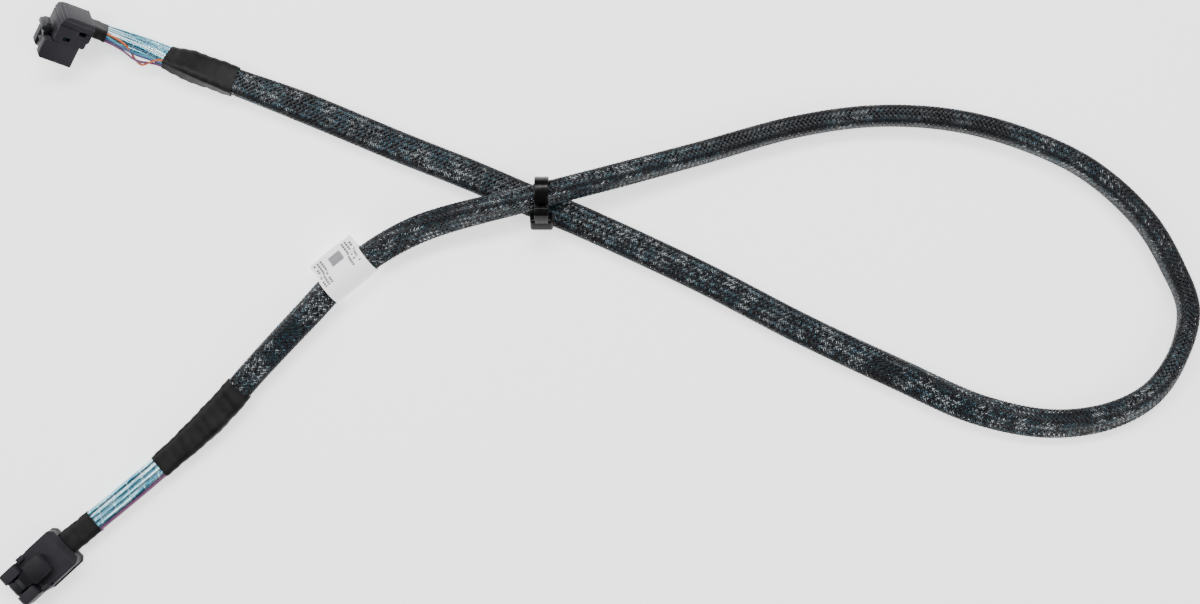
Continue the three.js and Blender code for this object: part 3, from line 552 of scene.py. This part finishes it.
def carrier_rings(index, way):
    jitter = shake.normal(0, 0.035) + 0.04 * np.sin(sleeve_run / shake.uniform(25, 60) + shake.uniform(0, 6))
    turned = (index + jitter) / CARRIERS + way * sleeve_run / TURN
    spot = (turned % 1.0) * len(sleeve_points)
    low = np.floor(spot).astype(int) % len(sleeve_points)
    high = (low + 1) % len(sleeve_points)
    share = (spot - np.floor(spot))[:, None]
    flat = sleeve_points[low] * (1 - share) + sleeve_points[high] * share
    out = sleeve_normals[low] * (1 - share) + sleeve_normals[high] * share
    weave = way * np.cos(math.pi * 2 * CARRIERS * sleeve_run / TURN)
    out_way = unit(sleeve_stations.side * out[:, :1] + sleeve_stations.normal * out[:, 1:])
    centre = sleeve_stations.spread(flat[:, :1] * sleeve_stations.girth[:, None],
                                    flat[:, 1:] * sleeve_stations.swell[:, None])[:, 0]
    centre = centre + out_way * (-WEAVE_SINK + WEAVE_LIFT * weave)[:, None] * MM
    forward = unit(np.gradient(centre, axis=0))
    sideways = unit(np.cross(forward, out_way))
    rings = (centre[:, None] + sideways[:, None] * STRIP_ACROSS[:, None] * MM
             + out_way[:, None] * STRIP_HEIGHT[:, None] * MM)
    lobes = np.sin(((flat[:, 0] - RIBBON_SIDE) / CREST_SPREAD + 0.5) * RIBBON_PAIRS * math.pi) ** 4
    lobes = np.where(np.abs(flat[:, 0] - RIBBON_SIDE) < CREST_SPREAD / 2, lobes, 0) * out[:, 1] ** 2
    edges = np.exp(-((np.abs(flat[:, 1]) - RIBBON_PITCH / 2) / CREST_SOFT) ** 2) * out[:, 0] ** 2
    return rings, lobes + edges


print("stations along the sleeve:", len(sleeve_at))


# %% Braid pieces
def braid(name, way, members):
    rings, crests = zip(*(carrier_rings(index, way) for index in members))
    stations, count = rings[0].shape[:2]
    size = stations * count
    faces = []
    for number in range(len(rings)):
        faces += closed_faces(stations, count, number * size)
    mesh = bpy.data.meshes.new(name)
    mesh.from_pydata(np.concatenate(rings).reshape(-1, 3).tolist(), [], faces)
    layer = mesh.uv_layers.new(name="run")
    corner = np.zeros(len(mesh.loops), np.int32)
    mesh.loops.foreach_get("vertex_index", corner)
    across = STRIP_ACROSS[corner % count] + STRAND_SHIFT * (corner // size)
    layer.data.foreach_set("uv", np.stack([across, sleeve_run[(corner % size) // count]], -1).ravel())
    crest_at = mesh.attributes.new("crest", "FLOAT", "POINT")
    crest_at.data.foreach_set("value", np.repeat(np.concatenate(crests), count))
    mesh.shade_smooth()
    return facing_out(piece(name, mesh, filament))


GROUP = 4
braids = []
for number in range(CARRIERS // GROUP):
    members = range(number * GROUP, (number + 1) * GROUP)
    braids.append(braid(f"braid_left_{number + 1}", 1, members))
    braids.append(braid(f"braid_right_{number + 1}", -1, members))
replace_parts(braids[0], "braided_sleeve")
print("braid:", sum(len(b.data.polygons) for b in braids) * 2, "triangles in", len(braids), "pieces")

# %% [markdown]
# ## Tapes
# Black tape binds the core at each plug, and a longer wrap climbs from the core over each end of the
# sleeve. Tape is wound on in a helix, so each turn lies on the last with a small step. The surface is a
# ring of points that grows by a tape's thickness round each turn, and a second ring inside closes the wall.

# %% Tape finish
tape = Paint("black_tape", (0.006, 0.006, 0.007), 0.5, Specular_IOR_Level=0.2)
tape_across, tape_along = tape.run()
stretch = tape.grain(tape.vector(tape_across * 0.25, tape_along * 1.1), 1.0, 3.0, 0.6)
smear = tape.grain(tape.place(), 260.0, 3.0)
tape.wear("Roughness", 0.4 + smear * 0.3)
tape.wear("Base Color", tape.ramp(smear, (0.35, (0.003, 0.003, 0.003)), (0.75, (0.010, 0.009, 0.010))))
tape.bump(stretch * 0.6 + smear, 0.00015, 0.5)

# %% Sheaths
CORE_HEIGHT = 3.8      # over both ribbons
TAPE_STEP = 0.16       # how far each turn of tape stands over the last
TAPE_LAP = 0.93        # the share of a turn after which the tape steps down again
WRAP_EASE = 0.1        # between a wrap and what it is wound on


def sheath(name, outer, inner, across, along, paint):
    """A wall between an outer and an inner row of rings, closed at both ends."""
    rings = np.concatenate([outer, inner[::-1], outer[:1]])
    stations, count = outer.shape[:2]
    total = 2 * stations
    mesh = bpy.data.meshes.new(name)
    faces = strip_faces(total + 1, count) % (total * count)
    mesh.from_pydata(rings[:-1].reshape(-1, 3).tolist(), [], faces.tolist())
    layer = mesh.uv_layers.new(name="run")
    corner = np.zeros(len(mesh.loops), np.int32)
    mesh.loops.foreach_get("vertex_index", corner)
    both = np.concatenate([along, along[::-1]])
    layer.data.foreach_set("uv", np.stack([across[corner % count], both[corner // count]], -1).ravel())
    mesh.shade_smooth()
    made = facing_out(piece(name, mesh, paint))
    made.data.set_sharp_from_angle(angle=math.radians(50))
    return made


def tape_rings(stations, half_width, half_thick, wall, wind, count=56):
    outline = rounded_outline(1, 1, 0.45, count)[0]
    across = np.arange(count) / count * 30.0
    run = run_of(stations.at)[:, None] / MM
    turn = (run / wind + np.arange(count) / count) % 1.0
    step = TAPE_STEP * np.minimum(turn / TAPE_LAP, (1 - turn) / (1 - TAPE_LAP))
    sag = 0.06 * np.sin(run * 1.7 + 5 * np.arange(count) / count) + 0.05 * np.sin(run * 0.61)
    lay = wall + step + sag
    x = outline[:, 0] * (half_width[:, None] + lay)
    y = outline[:, 1] * (half_thick[:, None] + lay)
    inner_x, inner_y = outline[:, 0] * half_width[:, None], outline[:, 1] * half_thick[:, None]
    return stations.spread(x, y), stations.spread(inner_x, inner_y), across


def end_tape(node, low, high):
    stations = Stations(evenly(low, high, 0.5))
    half = np.full(len(stations.at), 1.0)
    outer, inner, across = tape_rings(stations, half * (CORE_WIDTH / 2 + LAYER_GAP),
                                      half * (CORE_HEIGHT / 2 + LAYER_GAP), 0.12, 9.0)
    made = sheath(node + "_winding", outer, inner, across, run_of(stations.at) / MM, tape)
    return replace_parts(made, node)


def sleeve_wrap(node, core_end, lead, sleeve_side):
    stations = Stations(evenly(min(core_end, sleeve_side), max(core_end, sleeve_side), 0.45))
    share = np.clip((stations.at - core_end) / (lead - core_end), 0, 1)
    share = share * share * (3 - 2 * share)
    half_width = (CORE_WIDTH * (1 - share) + SLEEVE_WIDTH * stations.girth * share) / 2 + WRAP_EASE
    half_thick = (CORE_HEIGHT * (1 - share) + SLEEVE_THICK * stations.swell * share) / 2 + WRAP_EASE
    outer, inner, across = tape_rings(stations, half_width, half_thick, 0.2, 11.0, 72)
    made = sheath(node + "_winding", outer, inner, across, run_of(stations.at) / MM, tape)
    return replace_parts(made, node)


tapes = [
    end_tape("angled_end_tape", AT["angled_exit"] - 0.1, AT["angled_tape_end"]),
    end_tape("straight_end_tape", AT["straight_tape_start"], AT["straight_entry"] + 0.12),
    sleeve_wrap("angled_sleeve_wrap", AT["angled_wrap_start"], AT["angled_wrap_step"], AT["angled_wrap_end"]),
    sleeve_wrap("straight_sleeve_wrap", AT["straight_wrap_end"], AT["straight_wrap_step"],
                AT["straight_wrap_start"]),
]
print("tapes:", [t.name for t in tapes])

# %% [markdown]
# ## Label
# A strip of white film goes once round the sleeve, and its two ends are pressed together as a small flag.
# It is one sheet, so it is drawn as its outline seen along the cable and carried 17.8 mm along. What is
# printed on such a label names goods, so here it carries rows of plain bars and one dark field, of no
# meaning. The film also glows a little in its own tone: a painted glow that makes it read whiter.


# %% Label finish
def between(signal, low, high):
    """1 where the signal lies between two values, and 0 elsewhere."""
    return signal.above(low, 0.1) * (1 - signal.above(high, 0.1))


LABEL_LENGTH, LABEL_HALF, LABEL_FLAG = 17.8, 5.51, 4.6
# the film's weak emission is a painted glow, not a lamp
film = Paint("white_film", (0.88, 0.88, 0.89), 0.38, Emission_Strength=0.5)
film_across, film_along = film.run()
cell_across, cell_along = film_across * 1.1, film_along * 0.75
word = film.node("ShaderNodeTexWhiteNoise", {"noise_dimensions": "2D"},
                 {"Vector": film.vector(cell_across.whole(), cell_along.whole())})
line = cell_along.part().above(0.35, 0.1) * cell_across.part().above(0.15, 0.1)
columns = between(film_along.size(), 4.0, 8.0) * between(film_across, 23.0, 34.5)
field = between(film_along, -2.6, 2.4) * between(film_across, 28.6, 33.4)
bars = line * word.above(0.3, 0.05) * columns + field * 0.9
fibre = film.grain(film.place(), 1400.0, 2.0)
shade = film.ramp(fibre, (0.3, (0.84, 0.84, 0.86)), (0.7, (0.93, 0.93, 0.94)))
print_tone = film.blend(bars * 0.9, shade, (0.03, 0.03, 0.04))
film.wear("Base Color", print_tone)
# painted glow: the same tone is also emitted
film.wear("Emission Color", print_tone)
film.wear("Roughness", 0.32 + fibre * 0.2)
film.bump(fibre, 0.00004, 0.4)


# %% Label sheet
def label_outline(offset, tip):
    angle = np.radians(np.linspace(42, 318, 45))
    radius = LABEL_HALF + offset
    round_part = np.stack([-radius * np.cos(angle), -radius * np.sin(angle)], -1)
    near = round_part[-1]
    blend_in = np.linspace(0, 1, 7)[1:, None]
    over = near * (1 - blend_in) + np.array([-LABEL_HALF - 0.9, offset + 0.02]) * blend_in
    over[:, 1] -= 0.9 * np.sin(math.pi * blend_in[:, 0])
    flag = np.stack([np.linspace(-LABEL_HALF - 1.2, -tip, 6), np.full(6, offset + 0.02)], -1)
    half = np.vstack([over, flag])
    return np.vstack([round_part, half, (half * [1, -1])[::-1]])


label_place = Stations([AT["label"]])
label_axes = [getattr(label_place, axis)[0] for axis in ("left", "up", "along")]
LABEL_SHIFT, LABEL_THICK = 0.3, 0.15    # the label sits a little to the flag's far side
label_middle = label_place.origin[0] + label_axes[0] * LABEL_SHIFT * MM
label_run = np.linspace(-LABEL_LENGTH / 2, LABEL_LENGTH / 2, 25)


def label_rings(offset, tip):
    outline = label_outline(offset, tip)
    curl = 1 + 0.012 * np.cos(label_run * 0.35)
    flat = outline[None] * curl[:, None, None]
    return (label_middle + flat[..., :1] * MM * label_axes[0] + flat[..., 1:] * MM * label_axes[1]
            + label_run[:, None, None] * MM * label_axes[2])


label_tip = LABEL_HALF + LABEL_FLAG
label_edge = label_outline(LABEL_THICK, label_tip)
label_across = np.concatenate([[0], np.cumsum(np.linalg.norm(np.diff(label_edge, axis=0), axis=1))])
label = sheath("label_sheet", label_rings(LABEL_THICK, label_tip), label_rings(0.0, label_tip - LABEL_THICK),
               label_across, label_run, film)
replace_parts(label, "wrap_label")
print("label:", len(label.data.polygons), "faces")

# %% [markdown]
# ## Moulded housings
# The housings and levers have their true shape in the imported model, but mouldings never have knife edges.
# Each one is copied, its split corners are merged, its flat faces are made whole again, and a bevel rounds
# every edge by about a sixth of a millimetre, which catches the light. The shells are charcoal and the
# levers black, with a fine spark-eroded grain, and a little lighter in patches along the rounded edges.


# %% Plastic finish
def moulding(name, dark, light, roughness):
    paint = Paint(name, light, roughness, Specular_IOR_Level=0.2)
    fine = paint.grain(paint.place(), 2600.0, 3.0, 0.6)
    broad = paint.grain(paint.place(), 90.0, 3.0)
    edge = paint.node("ShaderNodeAttribute", {"attribute_name": "edge"}, {}, "Fac")
    # lighter in patches along the rounded edges
    lighter_edge_patches = edge * broad.above(0.42, 0.3)
    plain = paint.ramp(broad, (0.3, dark), (0.7, light))
    paint.wear("Base Color", paint.blend(lighter_edge_patches * 0.8, plain, tuple(3.2 * tone for tone in light)))
    paint.wear("Roughness", roughness - 0.08 + fine * 0.16)
    paint.bump(fine, 0.00005, 0.5)
    return paint


charcoal = moulding("charcoal_plastic", (0.011, 0.011, 0.014), (0.020, 0.019, 0.025), 0.6)
black = moulding("black_plastic", (0.006, 0.006, 0.008), (0.010, 0.010, 0.013), 0.5)
print("plastics:", charcoal.material.name, black.material.name)


# %% Softened copies
def only(made):
    bpy.ops.object.select_all(action="DESELECT")
    bpy.context.view_layer.objects.active = made
    made.select_set(True)
    return made


def softened(node, width, paint, body="cable"):
    mesh = frame["nodes"][node].data.copy()
    mesh.materials.clear()
    made = only(piece(node + "_moulding", mesh, paint, body))
    bpy.ops.object.mode_set(mode="EDIT")
    bpy.ops.mesh.customdata_custom_splitnormals_clear()
    bpy.ops.mesh.select_all(action="SELECT")
    bpy.ops.mesh.remove_doubles(threshold=0.000004)
    bpy.ops.mesh.dissolve_limited(angle_limit=math.radians(0.6))
    bpy.ops.object.mode_set(mode="OBJECT")
    bevel = made.modifiers.new("rounded_edges", "BEVEL")
    bevel.width, bevel.segments, bevel.limit_method = width * MM, 2, "ANGLE"
    bevel.angle_limit = math.radians(25)
    bpy.ops.object.modifier_apply(modifier=bevel.name)
    bpy.ops.object.shade_smooth_by_angle(angle=math.radians(40))
    edge = made.data.attributes.new("edge", "FLOAT", "FACE")
    for face in made.data.polygons:
        corners = [made.data.vertices[k].co for k in face.vertices]
        girth = sum((a - b).length for a, b in zip(corners, corners[1:] + corners[:1]))
        edge.data[face.index].value = 1.0 if face.area / girth < 0.5 * width * MM else 0.0
    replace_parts(made, node)
    return made


shells = [softened(node, 0.16, charcoal) for node in
          ("straight_lower_shell", "straight_upper_shell", "angled_front_shell", "angled_back_cover")]
latches = [softened(f"{plug}_latch", 0.14, black, f"{plug}_latch")
           for plug in ("straight", "angled")]
print("mouldings:", sum(len(made.data.polygons) for made in shells + latches), "faces")

# %% [markdown]
# ## Edge cards
# Each nose holds two green circuit boards one above the other. Nine gold contacts stand in a row on each
# face near the mating edge, at a pitch of 0.75 mm. They are grown from one small plate for each plug.

# %% Card finish
mask = Paint("green_solder_mask", (0.010, 0.060, 0.030), 0.35, Coat_Weight=0.4, Coat_Roughness=0.15)
weave_x = mask.grain(mask.place(), 2400.0, 2.0)
mask.wear("Base Color", mask.ramp(weave_x, (0.3, (0.007, 0.045, 0.022)), (0.7, (0.014, 0.078, 0.038))))
gold = Paint("gold_contact", (0.83, 0.55, 0.20), 0.25, Metallic=1.0)
gold.wear("Roughness", 0.18 + gold.grain(gold.place(), 3000.0, 2.0) * 0.2)
for node in ("straight_card_lower", "straight_card_upper", "angled_card_lower", "angled_card_upper"):
    frame["nodes"][node].data.materials.clear()
    frame["nodes"][node].data.materials.append(mask.material)
for node in ("straight_card_holder", "angled_card_holder"):
    frame["nodes"][node].data.materials.clear()
    frame["nodes"][node].data.materials.append(black.material)
print("cards and holders painted")


# %% Gold contacts
SPLIT_HEIGHT, CARD_PITCH, CARD_THICK = 4.3, 2.1, 1.0
CONTACTS, CONTACT_PITCH = 9, 0.75
CONTACT_SIZE = (3.0, 0.42, 0.06)
CONTACT_BACK, CONTACT_LIFT = 3.6, 0.02    # behind the nose's tip, and above the card's face
NOSE_RIM = 0.5         # the nose mount's point above the underside of the nose
mounts = {mount["name"]: mount for mount in frame["record"]["mounts"]}
hinges = {joint["name"]: joint for joint in frame["joints"]}


def nose_axes(plug):
    """The nose's own axes: forward, left and up, and the middle of its tip's lower edge."""
    mount = mounts[plug + "_nose"]
    forward = Vector(mount["axis"]).normalized()
    left = -Vector(hinges[plug + "_latch_hinge"]["axis"]).normalized()
    up = forward.cross(left)
    turn = Matrix((forward, left, up)).transposed().to_4x4()
    return Matrix.Translation(Vector(mount["pos_m"]) - up * NOSE_RIM * MM) @ turn


def contact():
    bpy.ops.object.select_all(action="DESELECT")
    bpy.ops.mesh.primitive_cube_add(size=1)
    made = bpy.context.object
    made.scale = [size * MM for size in CONTACT_SIZE]
    bpy.ops.object.transform_apply(scale=True)
    bpy.ops.object.mode_set(mode="EDIT")
    bpy.ops.mesh.select_all(action="SELECT")
    bpy.ops.mesh.bevel(offset=0.015 * MM, segments=1)
    bpy.ops.object.mode_set(mode="OBJECT")
    return made


def contacts(plug):
    first = contact()
    row = []
    for card in (-1, 1):
        for face in (-1, 1):
            height = SPLIT_HEIGHT + card * CARD_PITCH / 2 + face * (CARD_THICK / 2 + CONTACT_LIFT)
            for number in range(CONTACTS):
                across = (number - (CONTACTS - 1) / 2) * CONTACT_PITCH
                spot = first.copy()
                spot.data = first.data.copy()
                place = Vector((-CONTACT_BACK, across, height)) * MM
                spot.matrix_world = nose_axes(plug) @ Matrix.Translation(place)
                bpy.context.scene.collection.objects.link(spot)
                row.append(spot)
    bpy.data.objects.remove(first)
    only(row[0])
    for spot in row:
        spot.select_set(True)
    bpy.ops.object.join()
    bpy.ops.object.transform_apply(location=True, rotation=True, scale=True)
    made = bpy.context.object
    made.name = plug + "_contacts"
    made.data.materials.append(gold.material)
    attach(made, "cable")
    return made


golds = [contacts(plug) for plug in ("straight", "angled")]
print("contacts:", [made.name for made in golds])

# %% [markdown]
# ## Cable tie
# One nylon tie holds the two strands where they cross. Its strap is drawn as one edge that is extruded step
# by step round both strands, then given its thickness and rounded edges. The head is a block with a recess
# in its lower end, and the cut tail lies back along the slanting strap, over the head.

# %% Nylon finish
nylon = Paint("black_nylon", (0.003, 0.003, 0.003), 0.2, Specular_IOR_Level=0.16)
ripple = nylon.grain(nylon.place(), 420.0, 2.0)
nylon.wear("Roughness", 0.16 + ripple * 0.16)
nylon.wear("Base Color", nylon.ramp(ripple, (0.3, (0.001, 0.001, 0.001)), (0.7, (0.003, 0.003, 0.003))))
nylon.bump(ripple, 0.00006, 0.35)

# %% Strap
TIE_X, TIE_WIDTH, TIE_THICK = -19.7, 4.8, 1.1
TIE_UPPER, TIE_LOWER = (32.6, 19.2), (26.0, 10.6)
TIE_CORNERS = [
    (28.4, 0.0), (38.6, 0.0), (41.0, 1.2), (42.2, 4.5), (42.6, 15.4), (41.4, 18.8), (39.2, 20.3),
    (34.8, 20.3), TIE_UPPER, TIE_LOWER, (24.8, 7.4), (24.8, 3.4), (26.2, 1.0),
]


def rounded_loop(corners, share=0.42, steps=4):
    """A closed outline whose corners are parabolic arcs."""
    corners = [np.array(corner) for corner in corners]
    points = []
    for before, corner, after in zip(corners[-1:] + corners[:-1], corners, corners[1:] + corners[:1]):
        start, end = corner + (before - corner) * share, corner + (after - corner) * share
        for t in np.linspace(0, 1, steps):
            points.append((1 - t) ** 2 * start + 2 * t * (1 - t) * corner + t * t * end)
    return points


def rounded(made, width, segments=3):
    only(made)
    bevel = made.modifiers.new("rounded_edges", "BEVEL")
    bevel.width, bevel.segments, bevel.angle_limit = width * MM, segments, math.radians(35)
    bpy.ops.object.modifier_apply(modifier=bevel.name)
    bpy.ops.object.shade_smooth_by_angle(angle=math.radians(45))
    return made


def strap():
    line = rounded_loop(TIE_CORNERS)
    bpy.ops.object.select_all(action="DESELECT")
    bpy.ops.mesh.primitive_plane_add(size=TIE_WIDTH * MM)
    made = bpy.context.object
    bpy.ops.object.mode_set(mode="OBJECT")
    for corner in made.data.vertices:
        corner.select = corner.co.y > 0
    for side in list(made.data.edges) + list(made.data.polygons):
        side.select = False
    bpy.ops.object.mode_set(mode="EDIT")
    bpy.ops.mesh.select_mode(type="VERT")
    bpy.ops.mesh.delete(type="VERT")
    bpy.ops.mesh.select_all(action="SELECT")
    start = (TIE_X * MM, line[0][0] * MM + TIE_WIDTH * MM / 2, line[0][1] * MM)
    bpy.ops.transform.translate(value=start)
    for here, there in zip(line, line[1:] + line[:1]):
        step = (there - here) * MM
        bpy.ops.mesh.extrude_region_move(TRANSFORM_OT_translate={"value": (0, step[0], step[1])})
    bpy.ops.mesh.select_all(action="SELECT")
    bpy.ops.mesh.remove_doubles(threshold=0.00001)
    bpy.ops.mesh.normals_make_consistent(inside=False)
    bpy.ops.object.mode_set(mode="OBJECT")
    wall = made.modifiers.new("wall", "SOLIDIFY")
    wall.thickness, wall.offset = TIE_THICK * MM, -1
    bpy.ops.object.modifier_apply(modifier=wall.name)
    return rounded(made, 0.28)


def nylon_piece(made, name):
    made.name = name
    made.data.materials.append(nylon.material)
    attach(made, "cable")
    return made


tie_strap = nylon_piece(strap(), "tie_strap")
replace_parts(tie_strap, "cable_tie")
print("strap:", len(tie_strap.data.polygons), "faces")

# %% Head and tail
HEAD_WIDE, HEAD_LONG, HEAD_DEEP, TAIL_LONG = 8.2, 6.0, 4.0, 4.4
HEAD_AT = 0.34         # how far up the slanting strap the head sits
TAIL_UP = 3.9          # how far above the head's middle the tail's middle lies
tie_slope = math.atan2(TIE_UPPER[1] - TIE_LOWER[1], TIE_UPPER[0] - TIE_LOWER[0])
head_spot = [low + HEAD_AT * (high - low) for low, high in zip(TIE_LOWER, TIE_UPPER)]
head_place = Matrix.Translation(Vector((TIE_X, *head_spot)) * MM) @ Matrix.Rotation(tie_slope, 4, "X")


def pick_faces(made, wanted):
    bpy.ops.object.mode_set(mode="OBJECT")
    for part in list(made.data.vertices) + list(made.data.edges):
        part.select = False
    for face in made.data.polygons:
        face.select = wanted(face)
    bpy.ops.object.mode_set(mode="EDIT")
    bpy.ops.mesh.select_mode(type="FACE")


def block(size, lift):
    bpy.ops.object.select_all(action="DESELECT")
    bpy.ops.mesh.primitive_cube_add(size=1)
    made = bpy.context.object
    made.scale = [part * MM for part in size]
    made.location = (0, 0, lift * MM)
    bpy.ops.object.transform_apply(location=True, scale=True)
    return made


def settle(made):
    made.matrix_world = head_place
    only(made)
    bpy.ops.object.transform_apply(location=True, rotation=True, scale=True)
    return made


def tie_head():
    made = block((HEAD_WIDE, HEAD_LONG, HEAD_DEEP), HEAD_DEEP / 2 - TIE_THICK / 2)
    pick_faces(made, lambda face: face.normal.z > 0.9)
    bpy.ops.transform.resize(value=(0.94, 0.84, 1))
    bpy.ops.mesh.select_all(action="SELECT")
    bpy.ops.mesh.bevel(offset=0.9 * MM, segments=4)
    pick_faces(made, lambda face: face.normal.y < -0.9 and face.area > 5 * MM * MM)
    bpy.ops.mesh.inset(thickness=0.4 * MM)
    bpy.ops.mesh.extrude_region_move(TRANSFORM_OT_translate={"value": (0, 0.6 * MM, 0)})
    bpy.ops.object.mode_set(mode="OBJECT")
    return rounded(settle(made), 0.12, 2)


def tie_tail():
    """The cut end of the strap, laid back along it over the head."""
    level = HEAD_DEEP - TIE_THICK / 2 - 0.2
    made = block((TIE_WIDTH, TAIL_LONG, TIE_THICK), level)
    pick_faces(made, lambda face: face.normal.y > 0.9)
    bpy.ops.mesh.extrude_region_move(TRANSFORM_OT_translate={"value": (0, 1.6 * MM, -1.9 * MM)})
    pick_faces(made, lambda face: face.normal.y < -0.9)
    bpy.ops.transform.resize(value=(0.92, 1, 0.8))
    bpy.ops.object.mode_set(mode="OBJECT")
    made.location = (0, TAIL_UP * MM, 0)
    only(made)
    bpy.ops.object.transform_apply(location=True)
    return rounded(settle(made), 0.2, 2)


tie_pieces = [nylon_piece(tie_head(), "tie_head"), nylon_piece(tie_tail(), "tie_tail")]
print("tie:", [made.name for made in tie_pieces])
